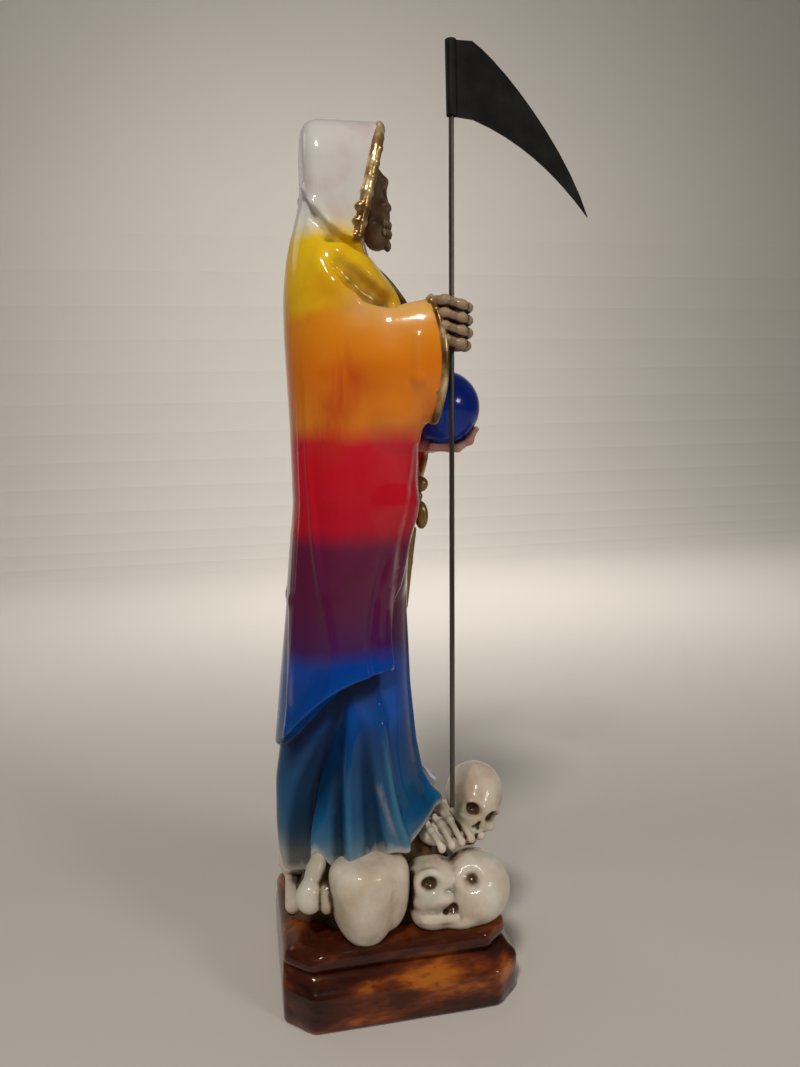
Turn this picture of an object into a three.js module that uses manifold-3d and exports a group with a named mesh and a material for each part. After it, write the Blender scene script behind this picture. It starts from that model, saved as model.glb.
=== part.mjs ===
import * as THREE from 'three';
import { mergeVertices } from 'three/addons/utils/BufferGeometryUtils.js';
import Module from 'manifold-3d';

const wasm = await Module();
wasm.setup();

// A standing robed skeleton on a stepped plinth, in millimetres. Up is +Z, it looks along -Y,
// its right hand is at -X, and the origin is the middle of the plinth's underside.

// Plinth sizes: a tall foot, a rounded shoulder, a narrow neck and a thin upper slab.
const plinth_length = 72;
const plinth_width = 66;
const plinth_corner = 8;
const foot_height = 11.5;
const foot_edge = 0.8;
const shoulder_rise = 4.2;
const shoulder_inset = 4.2;
const neck_rise = 1.2;
const neck_inset = 5.4;
const slab_height = 5.1;
const slab_inset = 3.2;
const slab_edge = 0.9;
const apron_inset = 0.7;
const apron_bevel = 3.9;
const plinth_height = foot_height + shoulder_rise + neck_rise + slab_height;

// Robe sizes: where the hem hangs, how far the robe rises and where its middle line stands.
const hem_gap = 22;
const hem_front_lift = 13;
const hem_train_drop = 8;
const robe_rise = 184;
const body_y = 7;
const hem_reach = 0.12;
const cape_share = 0.9;
const cape_back_rise = 15;
const fold_count = 8;
const fold_depth = 1.5;
const mantle_thickness = 1.3;
const mantle_top_share = 0.99;
const mantle_corner_share = 0.317;
const mantle_back_share = 0.175;
const mantle_edge_low = 65;
const mantle_edge_high = 21;
const mantle_bury = 2.2;
const hem_z = plinth_height + hem_gap;
const mantle_corner_z = hem_z + mantle_corner_share * robe_rise;
const shoulder_z = hem_z + robe_rise;

// Hood sizes: a round-topped tube that runs from back to front around the skull.
const hood_rise = 34.6;
const hood_half_width = 12.2;
const hood_back_y = 19.2;
const hood_front_y = -4.2;
const hood_lean = 0.26;
const hood_drop = 24;
const hood_wall = 2.2;
const hood_depth = 11;
const trim_radius = 1.5;
const trim_bead_radius = 2.1;
const trim_bead_count = 13;
const hood_top_z = shoulder_z + hood_rise;

// Skull of the figure, seen in the hood's mouth.
const face_height = 27;
const face_width = 15;
const face_front_y = -7.4;
const face_chin_gap = 2.5;

// Right sleeve, with its bell mouth, and the fist on the scythe.
const cuff_height = 35;
const cuff_width = 15;
const cuff_y = -16.2;
const cuff_x = -20;
const cuff_top_gap = 19;
const sleeve_wall = 1.5;
const sleeve_recess = 9;
const sleeve_swing = 1.5;
const right_lean = -0.16;
const left_lean = -0.2;
const drape_radius = 6.8;
const finger_radius = 1.8;
const finger_pitch = 3.5;
const finger_reach = 4.3;

// Scythe sizes: a thin rod in clearance holes, and a sheet blade folded round its top.
const rod_diameter = 1.5;
const rod_clearance = 0.35;
const rod_outward = 3.5;
const rod_forward = 0.5;
const rod_slant = 4.2;
const rod_foot_z = 59.7;
const rod_seat_depth = 4;
const rod_top_gap = 3;
const blade_rise = 13.9;
const blade_reach = 39.5;
const blade_drop = 45.5;
const blade_thickness = 0.5;
const blade_fit = 0.3;
const blade_socket_height = 19.6;
const blade_socket_width = 6;
const blade_top_z = hood_top_z + blade_rise;
const rod_top_z = blade_top_z - rod_top_gap;
const rod_x = cuff_x - rod_outward;
const rod_foot_y = cuff_y - rod_forward;
const rod_top_y = rod_foot_y - rod_slant;

// Globe and the left hand that carries it.
const globe_radius = 11.6;
const globe_x = 2;
const globe_y = -22.8;
const globe_drop = 49;
const globe_z = shoulder_z - globe_drop;
const cord_drop = 18;
const tassel_drop = 15;
const cord_length = 44;
const cord_radius = 1.6;
const left_cuff_height = 30;
const left_cuff_width = 15;

// Skulls and bones heaped under the hem.
const mound_half_width = 19;
const mound_half_length = 27;
const mound_height = 26;
const near_skull_radius = 11.2;
const top_skull_radius = 9.6;
const far_skull_radius = 9.8;
const egg_half_width = 10.6;
const egg_drop = 19.6;
const egg_crown = 7.6;
const knob_radius = 3.5;
const bone_radius = 2.6;
const toe_radius = 1.25;
const toe_count = 5;

// Places in the heap: to the figure's left, to its back, and height over the plinth.
const near_crown_place = [-19, -24.1, 9.1];
const near_face_place = [-17.5, -9, 9.2];
const near_jaw_place = [-21.8, -10.5, 3.6];
const top_skull_place = [-8.6, -27.4, 30.1];
const front_skull_place = [14, -24, 9.6];
const far_skull_place = [20, 1, 9.6];
const back_crown_place = [20, 19, 8.6];
const egg_place = [-23.2, 10.6, 17];
const lobe_place = [-21.8, 3.6, 16];
const knob_place = [-21.8, 26.6, 14.2];
const small_knob_place = [-22.4, 22.2, 13.6];
const shaft_top_place = [-15, 21, 28];
const toe_root_place = [-13, -9, 28];
const toe_start_place = [-19, -11.1, 29.2];
const toe_end_place = [-20.5, -13.7, 23.3];
const toe_spread = [6, -13.5, 0];
const foot_place = [-12, -15, 25];

const full_turn = Math.PI * 2;
const round_steps = 8;

function solidOf(geometry) {
  const bare = geometry.clone();
  bare.deleteAttribute('normal');
  bare.deleteAttribute('uv');
  const welded = mergeVertices(bare, 1e-4);
  return new wasm.Manifold(new wasm.Mesh({
    numProp: 3,
    vertProperties: new Float32Array(welded.attributes.position.array),
    triVerts: new Uint32Array(welded.index.array),
  }));
}

function geometryOf(solid) {
  const mesh = solid.getMesh();
  const geometry = new THREE.BufferGeometry();
  geometry.setAttribute('position', new THREE.BufferAttribute(new Float32Array(mesh.vertProperties), 3));
  geometry.setIndex(new THREE.BufferAttribute(new Uint32Array(mesh.triVerts), 1));
  geometry.computeVertexNormals();
  return geometry;
}

// Closed skin through equal rings of points, with a fan of triangles over each end.
function loft(rings) {
  const count = rings[0].length;
  const points = rings.flat();
  const middles = [rings[0], rings[rings.length - 1]].map((ring) => ring
    .reduce((sum, point) => sum.add(point), new THREE.Vector3()).divideScalar(count));
  const first = points.length;
  const last = first + 1;
  const faces = [];
  for (let level = 0; level + 1 < rings.length; level += 1) {
    for (let step = 0; step < count; step += 1) {
      const next = (step + 1) % count;
      const low = level * count;
      const high = low + count;
      faces.push(low + step, low + next, high + next, low + step, high + next, high + step);
    }
  }
  const top = (rings.length - 1) * count;
  for (let step = 0; step < count; step += 1) {
    const next = (step + 1) % count;
    faces.push(first, next, step);
    faces.push(last, top + step, top + next);
  }
  const all = points.concat(middles);
  const volume = signedVolume(all, faces);
  if (volume < 0) {
    faces.reverse();
  }
  const geometry = new THREE.BufferGeometry().setFromPoints(all);
  geometry.setIndex(faces);
  return geometry;
}

function signedVolume(points, faces) {
  let volume = 0;
  for (let index = 0; index < faces.length; index += 3) {
    const [a, b, c] = [points[faces[index]], points[faces[index + 1]], points[faces[index + 2]]];
    volume += a.dot(new THREE.Vector3().crossVectors(b, c));
  }
  return volume;
}

function ellipsoid(middle, size, around = 12, up = 8) {
  const geometry = new THREE.SphereGeometry(1, around, up);
  geometry.rotateX(Math.PI / 2);
  geometry.scale(size[0], size[1], size[2]);
  geometry.translate(middle[0], middle[1], middle[2]);
  return geometry;
}

// Round limb along a smooth curve through the given points, its radius given at each of them.
function limb(points, radii, sides = 8, steps = 0) {
  const path = new THREE.CatmullRomCurve3(points.map((point) => new THREE.Vector3(...point)));
  const spans = steps || (points.length - 1) * 2;
  const frames = path.computeFrenetFrames(spans, false);
  const rings = [];
  const ring = (share, station, scale, shift) => {
    const middle = path.getPointAt(share).addScaledVector(frames.tangents[station], shift);
    const along = share * (radii.length - 1);
    const low = Math.min(Math.floor(along), radii.length - 2);
    const radius = THREE.MathUtils.lerp(radii[low], radii[low + 1], along - low);
    return Array.from({ length: sides }, (_, side) => {
      const angle = (side / sides) * full_turn;
      return middle.clone()
        .addScaledVector(frames.normals[station], Math.cos(angle) * radius * scale)
        .addScaledVector(frames.binormals[station], Math.sin(angle) * radius * scale);
    });
  };
  rings.push(ring(0, 0, 0.65, -0.7 * radii[0]));
  for (let station = 0; station <= spans; station += 1) {
    rings.push(ring(station / spans, station, 1, 0));
  }
  const tip = radii[radii.length - 1];
  rings.push(ring(1, spans, 0.65, 0.7 * tip));
  return loft(rings);
}

function join(parts) {
  const solids = parts.map((part) => (part instanceof THREE.BufferGeometry ? solidOf(part) : part));
  return wasm.Manifold.union(solids);
}

// Plinth: eight-sided outlines stacked from the foot to the upper slab. The groove of the neck runs
// round three sides; the back end is one plain apron from the foot to a bevel under the slab's top.
function plinthRing(inset, z, back_inset = inset) {
  const x = plinth_width / 2 - inset;
  const front = plinth_length / 2 - inset;
  const back = plinth_length / 2 - back_inset;
  const corner = plinth_corner - inset * 0.2;
  return [
    [-x, back - corner], [-x, corner - front], [corner - x, -front], [x - corner, -front],
    [x, corner - front], [x, back - corner], [x - corner, back], [corner - x, back],
  ].map(([px, py]) => new THREE.Vector3(px, py, z));
}

function makePlinth() {
  const shoulder_z_low = foot_height;
  const shoulder_z_high = foot_height + shoulder_rise;
  const neck_z = shoulder_z_high + neck_rise;
  return loft([
    plinthRing(foot_edge, 0),
    plinthRing(0, foot_edge),
    plinthRing(0, shoulder_z_low - foot_edge),
    plinthRing(shoulder_inset * 0.22, shoulder_z_low + shoulder_rise * 0.2, apron_inset / 3),
    plinthRing(shoulder_inset * 0.6, shoulder_z_low + shoulder_rise * 0.65, apron_inset * 0.5),
    plinthRing(shoulder_inset, shoulder_z_high, apron_inset * 0.8),
    plinthRing(neck_inset, shoulder_z_high + neck_rise * 0.35, apron_inset),
    plinthRing(slab_inset + slab_edge / 2, neck_z, apron_inset),
    plinthRing(slab_inset, neck_z + slab_height * 0.6, apron_inset),
    plinthRing(slab_inset + slab_edge, neck_z + slab_height, apron_inset + apron_bevel),
  ]);
}

// Robe outline at shares of its rise: reach to the back, reach to the front and half width.
const robe_stations = [
  { share: 0, back: 27, front: 25, side: 23.4 },
  { share: 0.03, back: 28, front: 25.4, side: 23.2 },
  { share: 0.065, back: 28.2, front: 21.5, side: 22.2 },
  { share: 0.12, back: 27.6, front: 18.8, side: 20.6 },
  { share: 0.18, back: 25.6, front: 16.9, side: 19.4 },
  { share: 0.28, back: 23.4, front: 15.5, side: 18.4 },
  { share: 0.4, back: 20.6, front: 15.5, side: 17.8 },
  { share: 0.5, back: 18.6, front: 16.8, side: 17.5 },
  { share: 0.58, back: 17, front: 18.6, side: 17.6 },
  { share: 0.72, back: 17, front: 19, side: 18.6 },
  { share: 0.85, back: 17.6, front: 17.2, side: 19.8 },
  { share: 0.91, back: 17.4, front: 13.6, side: 18.4 },
  { share: 0.95, back: 15.6, front: 8.4, side: 15 },
  { share: 0.975, back: 13.8, front: 5.2, side: 12.4 },
  { share: 1, back: 12.2, front: 3.6, side: 10.4 },
];

function robeSizes(share) {
  const after = Math.max(1, robe_stations.findIndex((station) => station.share >= share));
  const [low, high] = [robe_stations[after - 1], robe_stations[after]];
  const part = THREE.MathUtils.clamp((share - low.share) / (high.share - low.share), 0, 1);
  return {
    back: THREE.MathUtils.lerp(low.back, high.back, part),
    front: THREE.MathUtils.lerp(low.front, high.front, part),
    side: THREE.MathUtils.lerp(low.side, high.side, part),
  };
}

// The hem is caught up over the bones in front and trails down behind.
function hemShift(turn) {
  const front = (1 + Math.cos(turn)) / 2;
  return hem_front_lift * front ** 3 - hem_train_drop * (1 - front) ** 3;
}

// Point of the robe at a turn from the front; positive turns go to the figure's left.
function robePoint(turn, share, extra) {
  const sizes = robeSizes(share);
  const reach = Math.cos(turn) > 0 ? sizes.front : sizes.back;
  const squareness = 0.88;
  const shape = (value) => Math.sign(value) * Math.abs(value) ** squareness;
  const fold = fold_depth * (1 - share) ** 1.5 * (Math.cos(turn * fold_count) - 1);
  const x = shape(Math.sin(turn)) * (sizes.side + extra + fold);
  const y = body_y - shape(Math.cos(turn)) * (reach + extra + fold);
  const low = Math.max(0, 1 - share / hem_reach);
  const high = Math.max(0, (share - cape_share) / (1 - cape_share));
  const cape = cape_back_rise * (1 - Math.cos(turn)) / 2;
  return new THREE.Vector3(x, y, hem_z + share * robe_rise + hemShift(turn) * low + cape * high);
}

function makeRobe() {
  const steps = fold_count * 4;
  const rings = robe_stations.map(({ share }) => Array.from(
    { length: steps },
    (_, step) => robePoint((step / steps) * full_turn, share, 0),
  ));
  return loft(rings);
}

// Mantle over the robe's back and sides: its front edges draw back and its hem falls to the rear.
function mantleHemShare(turn) {
  const back = (1 - Math.cos(turn)) / 2;
  return THREE.MathUtils.lerp(mantle_corner_share, mantle_back_share, back ** 3.5);
}

function makeMantle() {
  const steps = 24;
  const levels = 8;
  const rings = [];
  for (let level = 0; level <= levels; level += 1) {
    const rise = level / levels;
    const drawn = THREE.MathUtils.smoothstep(rise, 0.05, 0.62);
    const edge = THREE.MathUtils.degToRad(THREE.MathUtils.lerp(mantle_edge_low, mantle_edge_high, drawn));
    const ring = [];
    for (let step = 0; step <= steps; step += 1) {
      const turn = THREE.MathUtils.lerp(edge, full_turn - edge, step / steps);
      const share = THREE.MathUtils.lerp(mantleHemShare(turn), mantle_top_share, rise);
      const taper = rise > 0.93 ? 0.4 : 1;
      ring.push(robePoint(turn, share, mantle_thickness * taper));
    }
    for (const turn of [full_turn - edge + 0.02, full_turn, edge - 0.02]) {
      const share = THREE.MathUtils.lerp(mantleHemShare(turn), mantle_top_share, rise);
      ring.push(robePoint(turn, share, -mantle_bury));
    }
    rings.push(ring);
  }
  return loft(rings);
}

// Hood: arch-shaped rings set one behind the other along Y.
function archRing(y, half_width, top_z, bottom_z, lean = 0) {
  const ring = [];
  const spring_z = top_z - half_width * 1.15;
  const low_y = y + lean * (top_z - bottom_z);
  ring.push(new THREE.Vector3(-half_width * 0.9, low_y, bottom_z));
  for (let step = 0; step <= round_steps; step += 1) {
    const angle = Math.PI - (step / round_steps) * Math.PI;
    const z = spring_z + Math.sin(angle) * (top_z - spring_z);
    ring.push(new THREE.Vector3(Math.cos(angle) * half_width, y + lean * (top_z - z), z));
  }
  ring.push(new THREE.Vector3(half_width * 0.9, low_y, bottom_z));
  return ring;
}

function makeHood() {
  const low = hood_top_z - hood_rise - hood_drop;
  const shell = loft([
    archRing(hood_back_y, hood_half_width * 0.55, hood_top_z - 4, low),
    archRing(hood_back_y - 0.7, hood_half_width * 0.82, hood_top_z - 1.4, low),
    archRing(hood_back_y - 2.6, hood_half_width * 0.95, hood_top_z - 0.3, low),
    archRing(hood_back_y - 11, hood_half_width, hood_top_z, low + hood_drop * 0.5),
    archRing(hood_front_y, hood_half_width * 0.93, hood_top_z - 0.4, low + hood_drop, hood_lean),
  ]);
  const mouth_half_width = hood_half_width - hood_wall;
  const mouth_top_z = hood_top_z - hood_wall;
  const mouth_low_z = hood_top_z - hood_rise - 2;
  const mouth = loft([
    archRing(hood_front_y - 8, mouth_half_width, mouth_top_z, mouth_low_z),
    archRing(hood_front_y + hood_depth, mouth_half_width, mouth_top_z - 2, mouth_low_z),
  ]);
  return { shell, mouth };
}

// Gold edging: a raised band round the hood's mouth, swelling into beads along it.
function makeTrim() {
  const edge = hood_half_width * 0.93 - trim_radius * 0.4;
  const low = hood_top_z - hood_rise + 3;
  const top = hood_top_z - 0.6;
  const spring = hood_top_z - hood_half_width * 1.1;
  const at = (x, z) => [x, hood_front_y + hood_lean * (top - z), z];
  const arch = Array.from({ length: 7 }, (_, step) => {
    const angle = Math.PI * (1 - step / 6);
    return at(Math.cos(angle) * edge, spring + Math.sin(angle) * (top - spring));
  });
  const middle = (low + spring) / 2;
  const path = [at(-edge, low), at(-edge, middle), ...arch, at(edge, middle), at(edge, low)];
  const spots = trim_bead_count * 2;
  const radii = Array.from({ length: spots + 1 }, (_, spot) => (spot % 2 ? trim_bead_radius : trim_radius));
  return limb(path, radii, 5, spots);
}

function onPlinth([x, y, rise]) {
  return [x, y, plinth_height + rise];
}

// An egg on its point: a short broad crown above its middle and a long taper below it.
function eggForm(place, half_widths, drop, crown, around = 12, up = 8) {
  const geometry = ellipsoid([0, 0, 0], [half_widths[0], half_widths[1], 1], around, up);
  const points = geometry.attributes.position;
  for (let index = 0; index < points.count; index += 1) {
    const z = points.getZ(index);
    points.setZ(index, z > 0 ? crown * Math.sqrt(z) : drop * z);
  }
  return geometry.translate(...onPlinth(place));
}

// A skull looking along -Y, one unit wide at the cranium's radius, later turned and placed.
function makeSkull(radius) {
  const part = (place, size, around, up) => {
    const scaled = [place, size].map((values) => values.map((value) => value * radius));
    return ellipsoid(scaled[0], scaled[1], around, up);
  };
  const cranium = part([0, 0.35, 0.3], [0.92, 1.12, 1], 9, 6);
  const face = part([0, -0.3, -0.3], [0.72, 0.62, 0.78], 8, 5);
  const jaw = part([0, -0.42, -0.92], [0.5, 0.48, 0.36], 6, 4);
  const sockets = [-1, 1].map((side) => part([side * 0.36, -0.86, -0.02], [0.25, 0.4, 0.27], 6, 4));
  const nose = part([0, -0.98, -0.42], [0.13, 0.3, 0.2], 4, 4);
  return join([cranium, face, jaw]).subtract(join([...sockets, nose]));
}

function placed(solid, position, turn) {
  const matrix = new THREE.Matrix4().compose(
    new THREE.Vector3(...position),
    new THREE.Quaternion().setFromEuler(new THREE.Euler(...turn.map(THREE.MathUtils.degToRad), 'ZYX')),
    new THREE.Vector3(1, 1, 1),
  );
  return solid.transform(matrix.elements);
}

// Skull beside the near edge: a bare ball of a crown with one hole, and a worn face sunk beside it.
function makeNearSkull() {
  const ball = near_skull_radius;
  const crown = ellipsoid(onPlinth(near_crown_place), [ball, ball, ball], 12, 7);
  const face = ellipsoid(onPlinth(near_face_place), [ball * 0.68, ball * 0.68, ball * 0.86], 10, 7);
  const jaw = ellipsoid(onPlinth(near_jaw_place), [ball * 0.5, ball * 0.66, ball * 0.42], 8, 5);
  const holeAt = (out, across, up, size) => {
    const shift = [-out, across, up];
    const place = near_crown_place.map((value, axis) => value + ball * shift[axis]);
    return ellipsoid(onPlinth(place), [ball * 0.3, ball * size, ball * size], 6, 5);
  };
  const holes = [holeAt(0.82, 0.28, 0.72, 0.22), holeAt(0.6, 1.54, 0.57, 0.2), holeAt(0.78, 0.68, -0.32, 0.11)];
  return join([crown, face, jaw]).subtract(join(holes));
}

// Heap under the hem: a rough mound, turned skulls, a bare crown, long bones and toe bones.
function makeHeap() {
  const mound_sides = 12;
  const mound = loft([
    [-0.08, 1.08], [0.15, 1.02], [0.4, 0.92], [0.65, 0.85], [1, 0.8],
  ].map(([rise, spread]) => Array.from({ length: mound_sides }, (_, step) => {
    const angle = (step / mound_sides) * full_turn;
    const lump = 1 + 0.06 * Math.sin(angle * 5 + rise * mound_height);
    return new THREE.Vector3(
      Math.cos(angle) * mound_half_width * spread * lump,
      body_y / 2 + Math.sin(angle) * mound_half_length * spread * lump,
      plinth_height + rise * mound_height,
    );
  })));
  const skulls = [
    placed(makeSkull(top_skull_radius), onPlinth(top_skull_place), [4, 28, -86]),
    placed(makeSkull(far_skull_radius), onPlinth(front_skull_place), [4, 4, 26]),
    placed(makeSkull(far_skull_radius), onPlinth(far_skull_place), [0, -8, 88]),
  ];
  const egg = eggForm(egg_place, [egg_half_width * 0.92, egg_half_width], egg_drop, egg_crown);
  const lobe_half_widths = [egg_half_width * 0.76, egg_half_width * 0.64];
  const lobe = eggForm(lobe_place, lobe_half_widths, egg_drop * 0.76, egg_crown, 9, 6);
  const shaft_foot_place = [knob_place[0] + 0.8, knob_place[1] - 0.2, knob_place[2] + 2];
  const front_bone_y = front_skull_place[1] - 5.4;
  const back_bone_y = back_crown_place[1] + 11;
  const boneBetween = (start, end, start_share) => (
    limb([onPlinth(start), onPlinth(end)], [bone_radius * start_share, bone_radius], 6, 2)
  );
  const bones = [
    boneBetween(shaft_top_place, shaft_foot_place, 1),
    ellipsoid(onPlinth(knob_place), [knob_radius * 1.1, knob_radius * 1.2, knob_radius * 1.4], 8, 5),
    ellipsoid(onPlinth(small_knob_place), [knob_radius, knob_radius * 0.76, knob_radius * 1.4], 8, 5),
    boneBetween([-6, back_bone_y, 3], [16, back_bone_y, 5], 1),
    ellipsoid(onPlinth([19, back_bone_y - 1, 6]), [knob_radius, knob_radius, knob_radius * 1.2], 7, 5),
    ellipsoid(onPlinth(back_crown_place), [6.6, 8, 9.4], 9, 6),
    boneBetween([-6, front_bone_y, 2], [9, front_bone_y, 1.6], 1),
  ];
  const toes = Array.from({ length: toe_count }, (_, toe) => {
    const across = toe / (toe_count - 1);
    const along = (place) => onPlinth(place.map((value, axis) => value + toe_spread[axis] * across));
    const radii = [toe_radius, toe_radius, toe_radius];
    return limb([along(toe_root_place), along(toe_start_place), along(toe_end_place)], radii, 5, 2);
  });
  const foot = ellipsoid(onPlinth(foot_place), [6, 7, 5], 7, 5);
  return [mound, ...skulls, makeNearSkull(), egg, lobe, ...bones, foot, ...toes];
}

// Mantle cloth that hangs straight down below an arm and dies out on the robe's side.
function makeDrape(top, foot) {
  const part = (share) => top.map((value, axis) => THREE.MathUtils.lerp(value, foot[axis], share));
  const radii = [drape_radius, drape_radius * 0.85, drape_radius * 0.6];
  return limb([top, part(0.3), part(0.7), foot], radii, 7, 4);
}

// Sleeve: tall oval rings from the shoulder to the cuff, with the mouth hollowed.
function sleeveRing(middle, width, height, lean, steps = 12) {
  return Array.from({ length: steps }, (_, step) => {
    const angle = (step / steps) * full_turn;
    const across = Math.cos(angle) * width / 2;
    const up = Math.sin(angle) * height / 2;
    return new THREE.Vector3(
      middle[0] + across,
      middle[1] + lean * across - sleeve_swing * Math.cos(angle * 2) * (height / cuff_height),
      middle[2] + up,
    );
  });
}

function makeRightSleeve() {
  const top_z = shoulder_z - cuff_top_gap;
  const cuff = [cuff_x, cuff_y, top_z - cuff_height / 2];
  const outer = loft([
    sleeveRing([-10, 12, top_z - 14], 12, 25, 0),
    sleeveRing([-13.6, 5, top_z - 15.2], 13, 26.4, 0),
    sleeveRing([-17, -4, top_z - 16.4], cuff_width * 0.92, 28.6, 0),
    sleeveRing([-19.2, -11.4, top_z - 17.2], cuff_width * 0.98, 32.4, 0),
    sleeveRing(cuff, cuff_width, cuff_height, right_lean),
  ]);
  const width = cuff_width - 2 * sleeve_wall;
  const height = cuff_height - 2 * sleeve_wall;
  const recess = loft([
    sleeveRing([cuff_x + 1, cuff_y + sleeve_recess, cuff[2] + 1], width - 5, height - 9, 0),
    sleeveRing([cuff_x, cuff_y + 1, cuff[2]], width, height, right_lean),
    sleeveRing([cuff_x, cuff_y - 6, cuff[2]], width + 1, height + 1, right_lean),
  ]);
  const drape = makeDrape([-16.6, -3.6, cuff[2] - 1.5], [-12.6, -1, mantle_corner_z + 25]);
  return { outer, recess, drape };
}

function makeLeftSleeve() {
  const top_z = globe_z + 8;
  const cuff = [12.5, -18.2, top_z - left_cuff_height / 2 - 1.5];
  const outer = loft([
    sleeveRing([11, 9, shoulder_z - 26], 13, 30, 0),
    sleeveRing([15.5, 1, shoulder_z - 38], 14, 33, 0),
    sleeveRing([15.2, -8, top_z - 11], left_cuff_width * 0.95, 31, 0),
    sleeveRing(cuff, left_cuff_width, left_cuff_height, left_lean),
  ]);
  const width = left_cuff_width - 2 * sleeve_wall;
  const height = left_cuff_height - 2 * sleeve_wall;
  const recess = loft([
    sleeveRing([cuff[0] + 1, cuff[1] + sleeve_recess * 0.8, cuff[2] + 1.5], width - 4, height - 8, 0),
    sleeveRing([cuff[0], cuff[1] + 1.2, cuff[2]], width, height, left_lean),
    sleeveRing([cuff[0] - 0.5, cuff[1] - 6, cuff[2]], width + 1, height + 1, left_lean),
  ]);
  const drape = makeDrape([14.4, -2, top_z - 3], [12.6, -1.6, mantle_corner_z + 43]);
  return { outer, recess, drape };
}

// Straight line of the rod, from its seat in the heap to its top.
function rodPoint(z) {
  const share = (z - rod_foot_z) / (rod_top_z - rod_foot_z);
  return new THREE.Vector3(rod_x, THREE.MathUtils.lerp(rod_foot_y, rod_top_y, share), z);
}

function rodCylinder(radius, low_z, high_z, sides = 12) {
  const [low, high] = [rodPoint(low_z), rodPoint(high_z)];
  const geometry = new THREE.CylinderGeometry(radius, radius, low.distanceTo(high), sides);
  geometry.rotateX(Math.PI / 2);
  const direction = high.clone().sub(low).normalize();
  geometry.applyQuaternion(new THREE.Quaternion().setFromUnitVectors(new THREE.Vector3(0, 0, 1), direction));
  const middle = low.clone().add(high).multiplyScalar(0.5);
  geometry.translate(middle.x, middle.y, middle.z);
  return geometry;
}

function makeFist() {
  const top_z = shoulder_z - cuff_top_gap - 2.6;
  const fingers = Array.from({ length: 4 }, (_, finger) => {
    const z = top_z - finger * finger_pitch;
    const grip = rodPoint(z);
    const reach = finger_reach * (finger === 3 ? 0.88 : 1);
    return limb([
      [grip.x + 2.6, grip.y + 5.6, z - 0.3],
      [grip.x - 2.2, grip.y + 2.4, z],
      [grip.x - 3.1, grip.y - reach * 0.4, z + 0.2],
      [grip.x - 0.4, grip.y - reach, z],
      [grip.x + 3.2, grip.y - reach * 0.5, z - 0.2],
    ], [finger_radius, finger_radius, finger_radius * 0.9], 5, 4);
  });
  const grip = rodPoint(top_z - finger_pitch * 1.5);
  const palm = ellipsoid([grip.x + 1, grip.y + 2.4, grip.z], [3.6, 4.6, 6.4], 8, 6);
  const wrist = limb([
    [cuff_x + 1, cuff_y + sleeve_recess + 2, grip.z - 3],
    [grip.x + 1, grip.y + 4, grip.z],
  ], [2.6, 2.9], 6, 2);
  const thumb = limb([
    [grip.x + 3.6, grip.y + 3.4, grip.z + 3],
    [grip.x + 3.4, grip.y - 2.6, grip.z + 5],
  ], [1.8, 1.5], 6, 2);
  return [...fingers, palm, wrist, thumb];
}

function makeLeftHand() {
  const palm = ellipsoid([7.5, -19.2, globe_z - 10.5], [4.6, 6, 3.4], 9, 6);
  const wrist = limb([[13, -9, globe_z - 15], [9, -17, globe_z - 11.5]], [3, 2.8], 6, 2);
  const fingers = Array.from({ length: 4 }, (_, finger) => {
    const spread = THREE.MathUtils.lerp(-0.9, 0.9, finger / 3);
    const x = globe_x + spread * 6;
    return limb([
      [x + 3.4, -18.4, globe_z - 11.6],
      [x + 0.6, globe_y - 4.5, globe_z - 11.8],
      [x - 1.2, globe_y - 10.4 + Math.abs(spread) * 2, globe_z - 7.6],
    ], [1.7, 1.5, 1.2], 5, 3);
  });
  return [palm, wrist, ...fingers];
}

// Cord and tassel that hang down the robe's front.
function makeCord() {
  const top_z = globe_z - cord_drop;
  const front_y = cuff_y + 1.8;
  const tassel_top = [0, front_y + 1, top_z - tassel_drop];
  const upper = [[5, front_y + 5.4, top_z + 4], [1, front_y + 1.4, top_z - 3], tassel_top];
  const lower = [[0, front_y + 4, top_z - tassel_drop * 1.45], [0, front_y + 6, top_z - cord_length]];
  return [
    limb(upper, [cord_radius, cord_radius, cord_radius * 0.8], 5, 4),
    ellipsoid([0, front_y - 0.2, top_z - tassel_drop / 2], [2.6, 2.2, 2.2], 7, 5),
    ellipsoid([0, front_y, top_z - tassel_drop], [2.4, 2.4, 4.8], 7, 6),
    limb(lower, [cord_radius, cord_radius], 5, 2),
  ];
}

function makeFace() {
  const radius = face_width / 2;
  const chin_z = shoulder_z - face_chin_gap;
  const cranium_z = chin_z + face_height - radius * 1.1;
  const cranium_y = face_front_y + radius * 1.36;
  const cranium = ellipsoid([0, cranium_y, cranium_z], [radius, radius * 1.2, radius * 1.1], 10, 6);
  const mid_z = chin_z + face_height * 0.4;
  const cheek = ellipsoid([0, face_front_y + 5.2, mid_z], [radius * 0.78, 5.2, face_height * 0.36], 9, 6);
  const jaw = ellipsoid([0, face_front_y + 5.2, chin_z + 4.1], [radius * 0.62, 4, 4.2], 8, 6);
  const sockets = [-1, 1].map((side) => ellipsoid(
    [side * radius * 0.42, face_front_y + 0.9, chin_z + face_height * 0.62],
    [radius * 0.29, 2.6, radius * 0.33],
    7,
    5,
  ));
  const nose = ellipsoid([0, face_front_y + 0.2, chin_z + face_height * 0.43], [1.1, 1.8, 1.9], 5, 4);
  const neck = limb([[0, 6.4, shoulder_z - 12], [0, 4.4, shoulder_z + 8]], [5, 3.4], 8, 2);
  return join([cranium, cheek, jaw, neck]).subtract(join([...sockets, nose]));
}

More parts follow.
